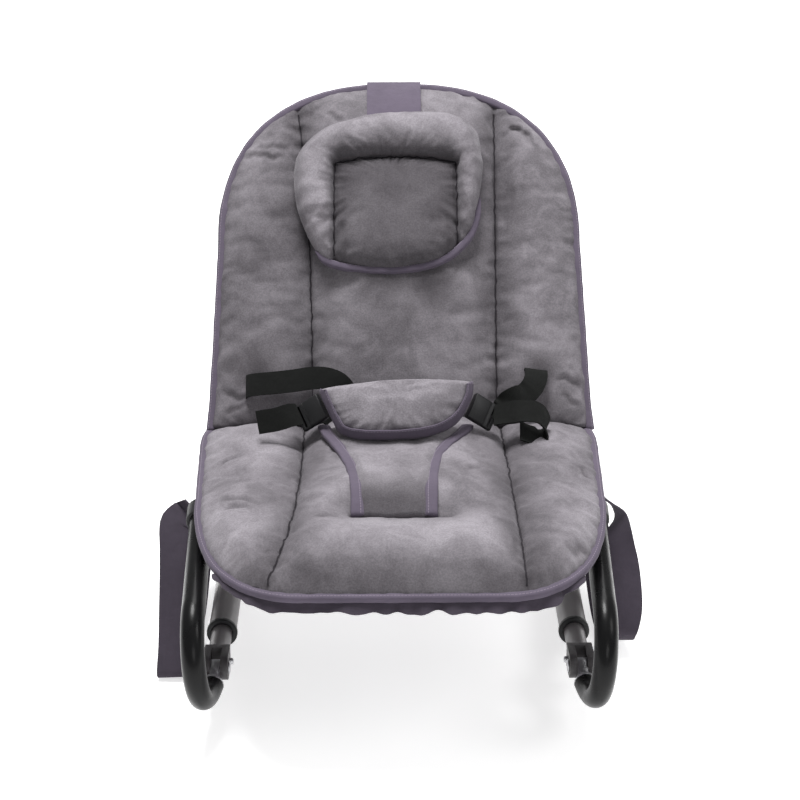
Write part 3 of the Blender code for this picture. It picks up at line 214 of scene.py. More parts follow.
class Cut(NamedTuple):
    """A pad's outline: half its width falls straight from the crease to where its corner starts,
    and the corner runs on from there to the flat part of the far end."""
    crease_half: float
    half: float
    corner_x: float
    start: float
    length: float
    power: float
    nip: float
    nip_reach: float

    def half_width(self, along):
        if along <= self.start:
            straight = self.crease_half + (self.half - self.crease_half) * along / self.start
            return straight + self.nip * bell(along, self.nip_reach)
        share = min(1.0, (along - self.start) / (self.length - self.start))
        bend = (1 - share**self.power) ** (1 / self.power)
        return self.corner_x + (self.half - self.corner_x) * bend

    def rim(self, direction):
        """The outline in the pad's plane, from the crease round the far end and back to it."""
        half, start, corner = self.half, self.start, self.corner_x
        right = [(self.half_width(s), s)
                 for s in (0.0105, 0.025, 0.04, 0.06, start * 0.55, start * 0.8)]
        for k in range(25):
            angle = math.pi / 2 * k / 24
            right.append((corner + (half - corner) * math.cos(angle) ** (2 / self.power),
                          start + (self.length - start) * math.sin(angle) ** (2 / self.power)))
        right += [(corner * share, self.length) for share in (0.8, 0.6, 0.4, 0.2, 0.0) if corner]
        whole = right + [(-x, s) for x, s in right[::-1] if x > 1e-6]
        points = [Vector((x, direction * s, 0)) for x, s in whole]
        return [point for i, point in enumerate(points)
                if i == 0 or (point - points[i - 1]).length > 0.004]


seat_cut = Cut(crease_half=0.218, half=0.2098, corner_x=0.1, start=0.175, length=SEAT_LENGTH,
               power=2.1, nip=-0.006, nip_reach=0.022)
back_cut = Cut(crease_half=0.213, half=0.2035, corner_x=0.0, start=0.225, length=BACK_LENGTH,
               power=2.45, nip=0.002, nip_reach=0.03)


def seat_lines(s):
    """Where the seat's two long seams run, at a distance in front of the crease."""
    return -0.105 - 0.029 * (s / SEAT_LENGTH) ** 4, 0.1135 + 0.008 * s / SEAT_LENGTH


def back_lines(b):
    """Where the back's two long seams run, at a distance up from the crease."""
    return -0.099 - 0.022 * (b / BACK_LENGTH) ** 3, 0.108 + 0.003 * b / BACK_LENGTH


def seat_droop(x, s):
    """How far the seat's front edge hangs, in front of its tube."""
    rim = min(seat_cut.half_width(min(s, SEAT_LENGTH * 0.9999)) - abs(x), SEAT_LENGTH - s)
    return SEAT_DROOP * ease((s - 0.2) / 0.1) * (1 - ease(rim / 0.026))


def ripple(x, y, scale, seed):
    return noise.noise(Vector((x * scale, y * scale, seed)))


def seam_distance(x, along, seams, cross_seam):
    """Distance from the nearest sewn line, the cross seam included."""
    near = min(abs(x - line) for line in seams(along))
    if cross_seam:
        near = min(near, math.hypot(max(0.0, abs(x) - KNEE_SEAM_HALF), along - cross_seam))
    return near


def pad_top(u, x, along, length, seams, cross_seam):
    """Height of the quilted top before it swells."""
    crown = max(0.0, 1 - abs(u) ** 3.2) ** 0.6
    end = (along - 0.74 * length) / (0.26 * length)
    if end > 0:
        crown *= max(0.0, 1 - end**2.2) ** 0.62
    crown *= 1 - 0.5 * bell(along, 0.02)
    drop = GROOVE_DEEP * math.exp(-seam_distance(x, along, seams, cross_seam) / GROOVE_REACH)
    return PAD_RIM + max(0.0, (PAD_CROWN - PAD_RIM) * crown - drop * min(1.0, 2 * crown))


def add_mesh(name, bm, material):
    mesh = bpy.data.meshes.new(name)
    bm.to_mesh(mesh)
    bm.free()
    mesh.materials.append(material)
    mesh.shade_smooth()
    piece = bpy.data.objects.new(name, mesh)
    bpy.context.scene.collection.objects.link(piece)
    return piece


def applied(piece):
    """Bakes the piece's modifiers into its mesh."""
    graph = bpy.context.evaluated_depsgraph_get()
    mesh = bpy.data.meshes.new_from_object(piece.evaluated_get(graph))
    piece.modifiers.clear()
    old = piece.data
    piece.data = mesh
    bpy.data.meshes.remove(old)
    return piece


def points_in(made, key="geom"):
    """The points among what an operator has made."""
    return [item for item in made[key] if isinstance(item, bmesh.types.BMVert)]


def points_of(mesh):
    points = np.empty(len(mesh.vertices) * 3)
    mesh.vertices.foreach_get("co", points)
    return points.reshape(-1, 3)


def reshaped(piece, points, painted_shade=None):
    """Moves the piece's points, and stores how dark the painted shade is at each."""
    piece.data.vertices.foreach_set("co", points.ravel())
    if painted_shade is not None:
        pile = piece.data.attributes.new("painted_shade", "FLOAT", "POINT")
        pile.data.foreach_set("value", painted_shade.astype(np.float32))
    piece.data.update()


def placed(piece, body, slot, *replaced):
    """Puts a piece on its body, in place of these CAD nodes. The slot is not used."""
    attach(piece, body)
    if replaced:
        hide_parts(*replaced)


PRESSURE = 4.0
SLACK = -0.02
SIDEWAYS = 0.4
SWELL_STEPS = 20


def puffed(piece, voxel, held, most):
    """Swells a closed cover: remeshed, blown up as cloth, held where held(point) says 1. No point
    moves further than most, and sideways only a share of that."""
    remesh = piece.modifiers.new("voxels", "REMESH")
    remesh.mode = "VOXEL"
    remesh.voxel_size = voxel
    remesh.use_smooth_shade = True
    applied(piece)
    rest = points_of(piece.data)
    pins = piece.vertex_groups.new(name="sewn")
    for i, point in enumerate(rest):
        weight = held(point)
        if weight > 0:
            pins.add([i], weight, "REPLACE")
    cloth = piece.modifiers.new("swell", "CLOTH")
    for name, value in {"quality": 4, "mass": 0.15, "tension_stiffness": 20,
                        "compression_stiffness": 12, "bending_stiffness": 0.4,
                        "use_pressure": True, "uniform_pressure_force": PRESSURE,
                        "shrink_min": SLACK, "vertex_group_mass": "sewn"}.items():
        setattr(cloth.settings, name, value)
    cloth.settings.effector_weights.gravity = 0
    cloth.collision_settings.use_collision = False
    scene = bpy.context.scene
    for step in range(SWELL_STEPS):
        scene.frame_set(step + 1)
    swollen = bpy.data.meshes.new_from_object(
        piece.evaluated_get(bpy.context.evaluated_depsgraph_get()))
    piece.modifiers.clear()
    shift = (points_of(swollen) - rest) * (SIDEWAYS, SIDEWAYS, 1.0)
    size = np.maximum(np.linalg.norm(shift, axis=1, keepdims=True), 1e-9)
    shift *= np.minimum(1.0, most / size)
    reshaped(piece, rest + shift)
    bpy.data.meshes.remove(swollen)
    scene.frame_set(1)
    piece.vertex_groups.clear()
    finer = piece.modifiers.new("finer", "SUBSURF")
    finer.levels = finer.render_levels = 1
    return applied(piece)


def pad_shape(name, cut, seams, cross_seam, direction):
    """The cover's closed shape in its own plane: x across, y away from the crease, z its height.
    Its end at the crease leans, so that seat and back meet face to face there."""
    bm = bmesh.new()
    bmesh.ops.create_grid(bm, x_segments=72, y_segments=56, size=1.0)
    made = bmesh.ops.extrude_face_region(bm, geom=bm.faces[:])["geom"]
    under = set(points_in({"geom": made}))
    for vert in bm.verts:
        u, share = vert.co.x, (vert.co.y + 1) / 2
        along = share**ROW_SPREAD * cut.length
        half = cut.half_width(min(along, cut.length * 0.9995))
        if vert in under:
            x, height = u * (half - min(0.006, half * 0.3)), PAD_UNDER
            lean = max(0.0, 1 - along / 0.03)
            along -= 0.006 * (share > 0.999)
        else:
            x = u * half
            height = pad_top(u, x, along, cut.length, seams, cross_seam)
            lean = max(0.0, 1 - along / 0.05)
        start = height * crease_lean * lean + 0.0015
        vert.co = (x, direction * max(start, along), height)
    bmesh.ops.recalc_face_normals(bm, faces=bm.faces)
    return add_mesh(name, bm, velour.material)


def quilt(piece, cut, seams, cross_seam, folds, shade_spots, seed):
    """Draws the seams' thread lines, the tucks that pull towards them and single folds, and stores
    painted shade at each point: along and beside the seams, at the rim, in the crease, towards the
    front of the knee roll, at given spots and in the folds' valleys."""
    points = points_of(piece.data)
    painted_shade = np.zeros(len(points))
    front = 0.78 if cross_seam else 0.0
    for i, (x, y, z) in enumerate(points):
        along = abs(y)
        if z < PAD_RIM - 0.001:
            continue
        near = seam_distance(x, along, seams, cross_seam)
        rim = cut.half_width(min(along, cut.length * 0.999)) - abs(x)
        edge = max(0.0, min(rim, cut.length - along))
        round_rim = 0.22 * math.atan2(along - 0.6 * cut.length, x)
        uneven = 1 + 1.2 * ripple(x, y, 21, seed + 5)
        tucks = ripple(x / 4, y, 92, seed) * bell(near - 0.004, 0.009) * TUCK_DEEP * uneven
        tucks += ripple(round_rim, edge / 5, 84, seed + 3) * bell(edge - 0.006, 0.012) * TUCK_DEEP
        loose = min(1.0, near / 0.02, edge / 0.03)
        lumps = ripple(x, y, 17, seed + 7) * LUMP_HIGH * loose
        lumps += ripple(x, y, 48, seed + 9) * CRUMPLE_HIGH * loose
        line = THREAD_DEEP * bell(near, 0.0028) * (1 + 0.5 * ripple(x, y, 160, seed + 11))
        points[i][2] += tucks + lumps - line
        seam_side_shade = 0.6 + 0.55 * ripple(x, y, 9, seed + 17)
        # Painted shade: dark along each seam and, wide and uneven, beside it, at the rim, in the
        # crease, towards the front of the knee roll and at the given spots.
        painted_shade[i] = max(bell(near, 0.004), 0.5 * bell(edge, 0.006), 0.9 * bell(along, 0.014),
                       seam_side_shade * bell(near - 0.004, 0.024), front * ease((along - 0.295) / 0.065))
        for spot_x, spot_y, reach in shade_spots:
            painted_shade[i] = max(painted_shade[i], 0.9 * bell(math.hypot(x - spot_x, y - spot_y), reach))
        # On the back, the pile is made darker towards its left side and its lower part.
        if not cross_seam:
            darker_left = 0.48 * (1 - ease((x + 0.15) / 0.34)) * (1 - 0.85 * ease((along - 0.24) / 0.11))
            painted_shade[i] += darker_left * (1 - painted_shade[i])
    for k, (x1, y1, x2, y2) in enumerate(folds):
        start, run = np.array((x1, y1)), np.array((x2 - x1, y2 - y1))
        long = np.linalg.norm(run)
        away = (points[:, :2] - start) @ (run / long)
        off = (points[:, :2] - start) @ (np.array((-run[1], run[0])) / long)
        off += 0.0022 * np.sin(away * 170 + 2.1 * k) + 0.0012 * np.sin(away * 410 + k)
        fade = np.clip(1 - np.abs(2 * away / long - 1)**3, 0, 1) * (points[:, 2] > PAD_RIM)
        valley = np.exp(-((off / 0.003)**2))
        ridge = 0.8 * np.exp(-(((off - 0.0065) / 0.004)**2))
        points[:, 2] += FOLD_DEEP[k % 2] * fade * (ridge - valley)
        # Painted shade in each fold's valley.
        painted_shade = np.maximum(painted_shade, 0.55 * fade * valley)
    reshaped(piece, points, painted_shade)


def clear_of_hubs(piece):
    """Rounds the cover's sides off where the hubs stand."""
    points = points_of(piece.data)
    for i, (x, y, z) in enumerate(points):
        reach = math.hypot(y, z)
        if abs(x) > HUB_INNER_X - 0.004 and reach < HUB_POCKET_R:
            points[i][1] = y / reach * HUB_POCKET_R
            points[i][2] = z / reach * HUB_POCKET_R
    reshaped(piece, points)


velour = Finish("velour")
nap = velour.stretch(velour.cloud(7.5, 2.0, 0.5, 0.4), 0.32, 0.68)
patches = velour.stretch(velour.cloud(30, 3.0, 0.6, 0.8), 0.3, 0.7)
marks = velour.stretch(velour.cloud(95, 4.0, 0.65, 0.6), 0.32, 0.68)
shade = velour.sum(velour.sum(nap, 0.52, "MULTIPLY"), velour.sum(patches, 0.38, "MULTIPLY"))
shade = velour.sum(shade, velour.sum(marks, 0.1, "MULTIPLY"))
tone = velour.node("ValToRGB", "Color", {"Fac": shade})
ramp = tone.node.color_ramp.elements
ramp.new(0.5)
for stop, (position, tint) in zip(ramp, ((0.08, (0.132, 0.122, 0.134)),
                                         (0.45, (0.204, 0.189, 0.207)),
                                         (0.92, (0.292, 0.273, 0.297)))):
    stop.position = position
    stop.color = (*tint, 1)
# Painted shade: the stored attribute darkens the pile towards near-black in grooves, creases,
# hollows and under parts.
shade_map = velour.node("Attribute", "Fac", attribute_name="painted_shade")
shade_weight = velour.sum(shade_map, 0.78, "MULTIPLY", clamp=True)
tone = velour.mixed(shade_weight, tone, (0.036, 0.032, 0.036))
fibre = velour.cloud(560, 3.0, 0.7)
pile = velour.cloud(2200, 2.0, 0.6)
tone = velour.mixed(velour.stretch(fibre, 0.34, 0.66, 0.0, 0.6), tone,
                    velour.mixed(1.0, tone, (0.6, 0.6, 0.6), "MULTIPLY"))
velour.set(Base_Color=tone, Roughness=0.95, Sheen_Weight=0.2, Sheen_Roughness=0.4,
           Sheen_Tint=(0.86, 0.83, 0.88, 1), Specular_IOR_Level=0.2,
           Normal=velour.relief(pile, 0.35, 0.0006, velour.relief(fibre, 0.4, 0.0012)))


def held_on_pad(cut, seams, cross_seam):
    """A rule for the swelling: sewn lines, the rim and the underside stay where they are."""
    def held(point):
        x, y, z = point
        along = abs(y)
        if z < PAD_RIM + 0.0005:
            return 1.0
        near = seam_distance(x, along, seams, cross_seam)
        rim = min(cut.half_width(min(along, cut.length * 0.999)) - abs(x), cut.length - along)
        return max(0.0, 1 - near / 0.0075, 1 - max(0.0, rim) / 0.008)
    return held


seat_folds = ((-0.186, -0.206, -0.138, -0.226), (-0.181, -0.224, -0.15, -0.232),
              (-0.094, -0.262, -0.058, -0.25), (0.16, -0.302, 0.192, -0.281),
              (0.166, -0.318, 0.19, -0.3), (0.141, -0.346, 0.157, -0.322),
              (0.064, -0.17, 0.094, -0.153), (-0.194, -0.127, -0.169, -0.107),
              (0.185, -0.131, 0.208, -0.148))
back_folds = ((-0.17, 0.343, -0.126, 0.335), (-0.177, 0.33, -0.13, 0.326),
              (-0.085, 0.378, -0.061, 0.37), (0.122, 0.374, 0.155, 0.343),
              (0.138, 0.364, 0.17, 0.33), (-0.202, 0.052, -0.167, 0.042),
              (-0.199, 0.031, -0.158, 0.035), (0.174, 0.066, 0.206, 0.059),
              (0.178, 0.046, 0.207, 0.036), (-0.09, 0.199, -0.066, 0.213),
              (0.117, 0.35, 0.142, 0.364))
# Spots of painted shade, each a place and its reach: by the crease, near the front, in the strap's
# channel, at the webbing slots and round the headrest.
seat_shade_spots = ((-0.08, -0.02, 0.03), (0.1, -0.02, 0.03), (-0.129, -0.34, 0.02),
              (0.121, -0.34, 0.02), (-0.002, -0.222, 0.03))
back_shade_spots = ((-0.162, 0.08, 0.024), (0.155, 0.08, 0.022), (-0.09, 0.33, 0.024),
              (0.118, 0.27, 0.03), (-0.118, 0.265, 0.026), (0.035, 0.176, 0.036),
              (-0.02, 0.182, 0.03))
pads = (("padded_seat", "seat_pad", "seat", seat_frame, SEAT_SHIFT, seat_cut, seat_lines,
         KNEE_SEAM, -1, seat_folds, seat_shade_spots, 2.0),
        ("padded_back", "back_pad", "back", back_frame, BACK_SHIFT, back_cut, back_lines, 0.0, 1,
         back_folds, back_shade_spots, 31.0))
for (name, node, body, plane, shift, cut, seams, cross_seam, direction, folds, shade_spots,
     seed) in pads:
    piece = pad_shape(name, cut, seams, cross_seam, direction)
    puffed(piece, 0.005, held_on_pad(cut, seams, cross_seam), 0.008)
    quilt(piece, cut, seams, cross_seam, folds, shade_spots, seed)
    clear_of_hubs(piece)
    if body == "seat":
        for vert in piece.data.vertices:
            vert.co.z -= seat_droop(vert.co.x, -vert.co.y)
    piece.data.transform(plane @ Matrix.Translation((shift, 0, 0)))
    placed(piece, body, "velour", node)


# Materials of the rigid pieces: satin grey powder coat, black gloss paint, black and grey moulded
# plastic, zinc plate and rubber.
def painted(name, colour, rough, grain, depth, **more):
    """A hard finish whose roughness and surface vary a little from place to place."""
    finish = Finish(name)
    wear = finish.cloud(60, 4.0, 0.6)
    dark = tuple(channel * 0.86 for channel in colour)
    finish.set(Base_Color=finish.mixed(wear, dark, colour),
               Roughness=finish.stretch(wear, 0.25, 0.75, rough - 0.05, rough + 0.06),
               Normal=finish.relief(finish.cloud(grain, 2.0, 0.6), 0.25, depth), **more)
    return finish.material


hard = {
    "grey_paint": painted("grey_paint", (0.155, 0.144, 0.148), 0.36, 900, 0.0003, Metallic=0.25,
                          Coat_Weight=0.15, Coat_Roughness=0.3),
    "black_paint": painted("black_paint", (0.005, 0.005, 0.0054), 0.3, 500, 0.0002,
                           Specular_IOR_Level=0.13, Coat_Weight=0.06, Coat_Roughness=0.12),
    "black_plastic": painted("black_plastic", (0.012, 0.012, 0.013), 0.42, 1700, 0.0004,
                             Specular_IOR_Level=0.3),
    "grey_plastic": painted("grey_plastic", (0.06, 0.055, 0.058), 0.44, 1700, 0.0004),
    "zinc_steel": painted("zinc_steel", (0.6, 0.6, 0.62), 0.32, 700, 0.0002, Metallic=1.0),
    "black_rubber": painted("black_rubber", (0.022, 0.022, 0.022), 0.8, 1100, 0.0008),
}


# Painted tubes: each is a circle that runs along straights and round bends, its mouths turned in.
# Grey runners, spigots and crossbar stand on the floor; black bows and loops carry seat and back.
def rim_of(verts):
    """The edges that join these points to one another."""
    chosen = set(verts)
    return list(dict.fromkeys(edge for vert in verts for edge in vert.link_edges
                              if edge.other_vert(vert) in chosen))


def turned_in(bm, verts, centre, inward, share):
    """Gives a tube's mouth its wall and a dark bore."""
    lip = points_in(bmesh.ops.extrude_edge_only(bm, edges=rim_of(verts)))
    for vert in lip:
        vert.co = centre + (vert.co - centre) * share
    bore = points_in(bmesh.ops.extrude_edge_only(bm, edges=rim_of(lip)))
    bmesh.ops.translate(bm, vec=inward * 0.018, verts=bore)
    bmesh.ops.contextual_create(bm, geom=rim_of(bore))


def bent_tube(radius, start, along, moves, wall=0.0014):
    """A tube from start: each move is a vector to run along, or (centre, axis, angle, steps)."""
    bm = bmesh.new()
    at, along = Vector(start), Vector(along).normalized()
    turn = along.to_track_quat("Z", "X").to_matrix().to_4x4()
    verts = bmesh.ops.create_circle(bm, segments=36, radius=radius,
                                    matrix=Matrix.Translation(at) @ turn)["verts"]
    turned_in(bm, verts, at, along, 1 - wall / radius)
    for move in moves:
        if isinstance(move, Vector):
            verts = points_in(bmesh.ops.extrude_edge_only(bm, edges=rim_of(verts)))
            bmesh.ops.translate(bm, vec=move, verts=verts)
            at = at + move
            continue
        centre, axis, angle, steps = move
        made = bmesh.ops.spin(bm, geom=verts + rim_of(verts), cent=centre, axis=axis,
                              angle=angle, steps=steps)
        verts = points_in(made, "geom_last")
        spin = Matrix.Rotation(angle, 3, axis)
        at = centre + spin @ (at - centre)
        along = spin @ along
    turned_in(bm, verts, at, -along, 1 - wall / radius)
    bmesh.ops.recalc_face_normals(bm, faces=bm.faces)
    return bm


def finished(name, bm, finish, body, replaced, transform=None, sharp=40):
    """Turns a rigid shape into a piece that rides on its body in place of its CAD solids."""
    if transform:
        bm.transform(transform)
    piece = add_mesh(name, bm, hard[finish])
    piece.data.set_sharp_from_angle(angle=math.radians(sharp))
    placed(piece, body, finish, *replaced)


X, Y, Z = Vector((1, 0, 0)), Vector((0, 1, 0)), Vector((0, 0, 1))
SIDES = (("left", -1), ("right", 1))
RUNNER_X = 0.189
RUNNER_R = 0.015
SPIGOT_R = 0.011
BOW_R = 0.012
LOOP_R = 0.0095
ROCKER_R = 1.08
CONTACT_Y = 0.02
ROCKER_TOP = 0.01689 + ROCKER_R


def on_rocker(x, y):
    """A point of the runner's centre line and the direction that it runs in there."""
    slope = math.asin((y - CONTACT_Y) / ROCKER_R)
    return Vector((x, y, ROCKER_TOP - ROCKER_R * math.cos(slope))), slope


for word, side in SIDES:
    middle = Vector((side * RUNNER_X, CONTACT_Y, ROCKER_TOP))
    for name, radius, y_from, y_to in (("runner", RUNNER_R, -0.16, 0.2888),
                                       ("spigot_tube", SPIGOT_R, -0.2155, -0.1)):
        start, slope = on_rocker(side * RUNNER_X, y_from)
        end_slope = on_rocker(side * RUNNER_X, y_to)[1]
        bm = bent_tube(radius, start, (0, math.cos(slope), math.sin(slope)),
                       [(middle, X, end_slope - slope, 34 if name == "runner" else 10)])
        finished(f"bent_{name}_{word}", bm, "grey_paint", "base", [f"{name}_{word}"])

    # Bow: forward from its bracket, round the front bend, toed in towards its eye
    bend_y, bend_z, bend_r, bend_turn = -0.2705, 0.097, 0.052, math.radians(182)
    top_x, foot_x = 0.204, 0.1915
    start = Vector((side * 0.2085, -0.1135, 0.1553))
    top = Vector((side * top_x, bend_y, bend_z + bend_r))
    bm = bent_tube(BOW_R, start, -Y, [(top - start) * 0.5, (top - start) * 0.5,
                                      (Vector((side * top_x, bend_y, bend_z)), X, bend_turn, 44)])
    for vert in bm.verts:
        angle = math.atan2(vert.co.z - bend_z, vert.co.y - bend_y) - math.pi / 2
        if vert.co.y < bend_y + 0.012 and (vert.co.z < bend_z or vert.co.y < bend_y):
            share = min(1.0, max(0.0, angle % (2 * math.pi)) / bend_turn)
            vert.co.x += side * (foot_x - top_x) * share**2.2
    finished(f"front_bow_{word}", bm, "black_paint", "seat", [f"bow_{word}"])

low, high = (Vector(corner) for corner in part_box("rear_crossbar"))
bm = bent_tube(RUNNER_R, (low.x, (low.y + high.y) / 2, (low.z + high.z) / 2), X,
               [X * (high.x - low.x)])
finished("rear_bar", bm, "grey_paint", "base", ["rear_crossbar"])

for name, half, length, corner, direction, plane, body in (
        ("seat", 0.183, 0.322, 0.12, -1, seat_frame, "seat"),
        ("back", 0.196, 0.402, 0.15, 1, back_frame, "back")):
    start = Vector((-half, direction * 0.0263, 0))
    bend_y = direction * (length - corner)
    turn = -direction * math.pi / 2
    bm = bent_tube(LOOP_R, start, Y * direction,
                   [Y * (bend_y - start.y), (Vector((corner - half, bend_y, 0)), Z, turn, 18),
                    X * (2 * (half - corner)), (Vector((half - corner, bend_y, 0)), Z, turn, 18),
                    Y * (start.y - bend_y)], wall=0.0012)
    finished(f"{name}_tube", bm, "black_paint", body, [f"{name}_loop"], plane)


# Moulded and turned fittings: the same solids as in the CAD, with their edges broken. Elbows,
# collars, grips, forks, pins, eyes, brackets, hubs, lock gears and push buttons.
def fitting(node, body, finish, width):
    """A copy of a CAD solid, its flat faces made whole and its sharp edges rounded."""
    source = frame["nodes"][node]
    bm = bmesh.new()
    bm.from_mesh(source.data)
    bm.transform(source.matrix_world)
    bmesh.ops.remove_doubles(bm, verts=bm.verts, dist=1e-6)
    bmesh.ops.dissolve_limit(bm, angle_limit=math.radians(1.5), verts=bm.verts, edges=bm.edges)
    edges = [edge for edge in bm.edges
             if edge.is_manifold and edge.calc_face_angle(0) > math.radians(38)]
    bmesh.ops.bevel(bm, geom=edges, offset=width, segments=3, affect="EDGES", profile=0.5,
                    material=-1, clamp_overlap=True)
    bmesh.ops.recalc_face_normals(bm, faces=bm.faces)
    finished(f"fine_{node}", bm, finish, body, [node], sharp=35)


slots = {row["node"]: row["material_slot"] for row in frame["record"]["subparts"]}
fittings = {"rear_elbow": 0.0008, "runner_collar": 0.0006, "runner_grip": 0.0004, "fork": 0.0012,
            "clevis_pin": 0.0004, "bow_eye": 0.0005, "bow_bracket": 0.001, "hub_seat": 0.0008,
            "hub_back": 0.0008, "lock_gear": 0.0002, "hub_pin": 0.0004, "fold_button": 0.0005,
            "recline_button": 0.0006}
for body, nodes in frame["record"]["behaviour"]["bodies"].items():
    for node in nodes:
        kind = node.rsplit("_", 1)[0]
        if kind in fittings:
            fitting(node, body, slots[node], fittings[kind])


# Cloth of the cover: plain weave in a grey purple, used for the bindings, hem, bands and handles.
# Each piece of it has UVs in metres, which the weave and the rows of stitches follow.
def stitched(finish, cloth, colour, thread, rows, pitch=0.0034, long=0.0023):
    """Dashes of thread in rows at these distances across the cloth, and the height that they add."""
    across = finish.node("SeparateXYZ", "X", {"Vector": cloth})
    along = across.node.outputs["Y"]
    mask = 0.0
    for row in rows:
        near = finish.sum(finish.sum(finish.sum(across, row, "SUBTRACT"), 0.0, "ABSOLUTE"),
                          0.00035, "LESS_THAN")
        mask = finish.sum(mask, near)
    dash = finish.sum(finish.sum(along, pitch, "MODULO"), long, "LESS_THAN")
    mask = finish.sum(mask, dash, "MULTIPLY")
    return finish.mixed(mask, colour, thread), mask


def woven(name, colour, thread, rows=(), ribs=False, **more):
    """A woven cloth: its weave or ribs, a little unevenness, and rows of stitches."""
    finish = Finish(name)
    cloth = finish.node("UVMap", "UV", uv_map="cloth")
    weft = finish.waves(230 if ribs else 330, cloth, "Y")
    warp = finish.waves(330, cloth, "X")
    weave = weft if ribs else finish.sum(weft, warp, "MULTIPLY")
    soft = finish.cloud(30, 3.0, 0.6)
    deep = tuple(channel * 0.72 for channel in colour)
    tone = finish.mixed(finish.stretch(soft, 0.3, 0.7, 0.0, 0.55), colour, deep)
    tone = finish.mixed(finish.stretch(weave, 0.0, 1.0, 0.3, 0.0), tone, deep)
    height = weave
    if rows:
        tone, mask = stitched(finish, cloth, tone, thread, rows)
        height = finish.sum(finish.sum(weave, 0.5, "MULTIPLY"), mask)
    folds = finish.relief(finish.cloud(85, 2.0, 0.5), 0.3, 0.0035)
    finish.set(Base_Color=tone, Roughness=0.86, Sheen_Weight=0.06, Sheen_Roughness=0.5,
               Specular_IOR_Level=0.25, Normal=finish.relief(height, 0.5, 0.0004, folds))
    finish.set(**more)
    return finish.material


PURPLE = (0.104, 0.086, 0.119)
cover_cloth = woven("cover_cloth", PURPLE, PURPLE)
# A darker copy of the cover cloth, for the handles and the hem: painted shade.
cover_cloth_in_shade = woven("cover_cloth_shaded", (0.054, 0.044, 0.061), PURPLE)
tape_cloth = woven("cover_tape", PURPLE, (0.185, 0.16, 0.2), rows=(0.0058,))
# Near-black: the seam rows stand for the thread with the painted shade of its groove.
seam_thread_and_shade = woven("seam_thread_and_shade", (0.016, 0.013, 0.017), PURPLE)
web_cloth = woven("webbing", (0.0075, 0.008, 0.0076), PURPLE, ribs=True,
                  Sheen_Weight=0.0, Specular_IOR_Level=0.15)


def evenly(points, count, closed=False):
    """A smooth curve through points, as count points an even distance apart."""
    points = [Vector(point) for point in points]
    last = len(points)
    dense = []
    for i in range(last if closed else last - 1):
        a, b = points[i], points[(i + 1) % last]
        before = points[(i - 1) % last] if closed or i else a * 2 - b
        after = points[(i + 2) % last] if closed or i + 2 < last else b * 2 - a
        for k in range(24):
            t = k / 24
            dense.append(0.5 * ((2 * a) + (b - before) * t + (2 * before - 5 * a + 4 * b - after)
                                * t * t + (3 * a - before - 3 * b + after) * t**3))
    dense.append(points[0] if closed else points[-1])
    steps = [0.0]
    for a, b in zip(dense, dense[1:]):
        steps.append(steps[-1] + (b - a).length)
    table = np.array(dense)
    wanted = np.linspace(0, steps[-1], count)
    return [Vector([np.interp(far, steps, table[:, axis]) for axis in range(len(dense[0]))])
            for far in wanted]


def directions(path):
    last = len(path) - 1
    return [(path[min(i + 1, last)] - path[max(i - 1, 0)]).normalized() for i in range(last + 1)]


def cloth_piece(name, rows, material, thick=0.0012, tube=False):
    """Cloth from rows of points across it: a sheet with its thickness, or a closed tape."""
    across, along = len(rows[0]), len(rows)
    bm = bmesh.new()
    bmesh.ops.create_grid(bm, x_segments=across - 1, y_segments=along - 1, size=1.0)
    middle = rows[along // 2]
    wide = np.cumsum([0.0] + [(b - a).length for a, b in zip(middle, middle[1:])])
    centre = [row[across // 2] for row in rows]
    far = np.cumsum([0.0] + [(b - a).length for a, b in zip(centre, centre[1:])])
    layer = bm.loops.layers.uv.new("cloth")
    place = {vert: (round((vert.co.x + 1) / 2 * (across - 1)),
                    round((vert.co.y + 1) / 2 * (along - 1))) for vert in bm.verts}
    for face in bm.faces:
        for loop in face.loops:
            i, j = place[loop.vert]
            loop[layer].uv = (wide[i], far[j])
    for vert, (i, j) in place.items():
        vert.co = rows[j][i]
    if tube:
        bmesh.ops.remove_doubles(bm, verts=bm.verts, dist=1e-6)
        bmesh.ops.holes_fill(bm, edges=[edge for edge in bm.edges if edge.is_boundary], sides=0)
    bmesh.ops.recalc_face_normals(bm, faces=bm.faces)
    piece = add_mesh(name, bm, material)
    if not tube:
        solid = piece.modifiers.new("cloth", "SOLIDIFY")
        solid.thickness = thick
        solid.offset = 0.0
        applied(piece)
        piece.data.set_sharp_from_angle(angle=math.radians(50))
    return piece


TAPE_SQUARENESS = 0.6


def oval(angle, a, b):
    """A point of a tape's section: a squarish oval, a by b."""
    c, s = math.cos(angle), math.sin(angle)
    return (math.copysign(abs(c) ** TAPE_SQUARENESS, c) * a,
            math.copysign(abs(s) ** TAPE_SQUARENESS, s) * b)


def taped(name, rim, outward, normal, a, b, ends=False, seed=1.0):
    """A binding folded over an edge: a rounded section run along the rim."""
    rows = []
    count = len(rim)
    for k, (point, out, up) in enumerate(zip(rim, outward, normal)):
        share = min(k, count - 1 - k) / count
        slim = min(1.0, 0.12 + (share / 0.1) ** 0.7) if ends else 1.0
        wave = 1 + 0.1 * ripple(point.x, point.y + k / count * 0.01, 60, seed)
        ring = []
        for step in range(19):
            o, n = oval(math.pi - 2 * math.pi * step / 18, a * slim, b * slim)
            ring.append(point + out * (o * wave) + up * (n * wave))
        rows.append(ring)
    return cloth_piece(name, rows, tape_cloth, tube=True)


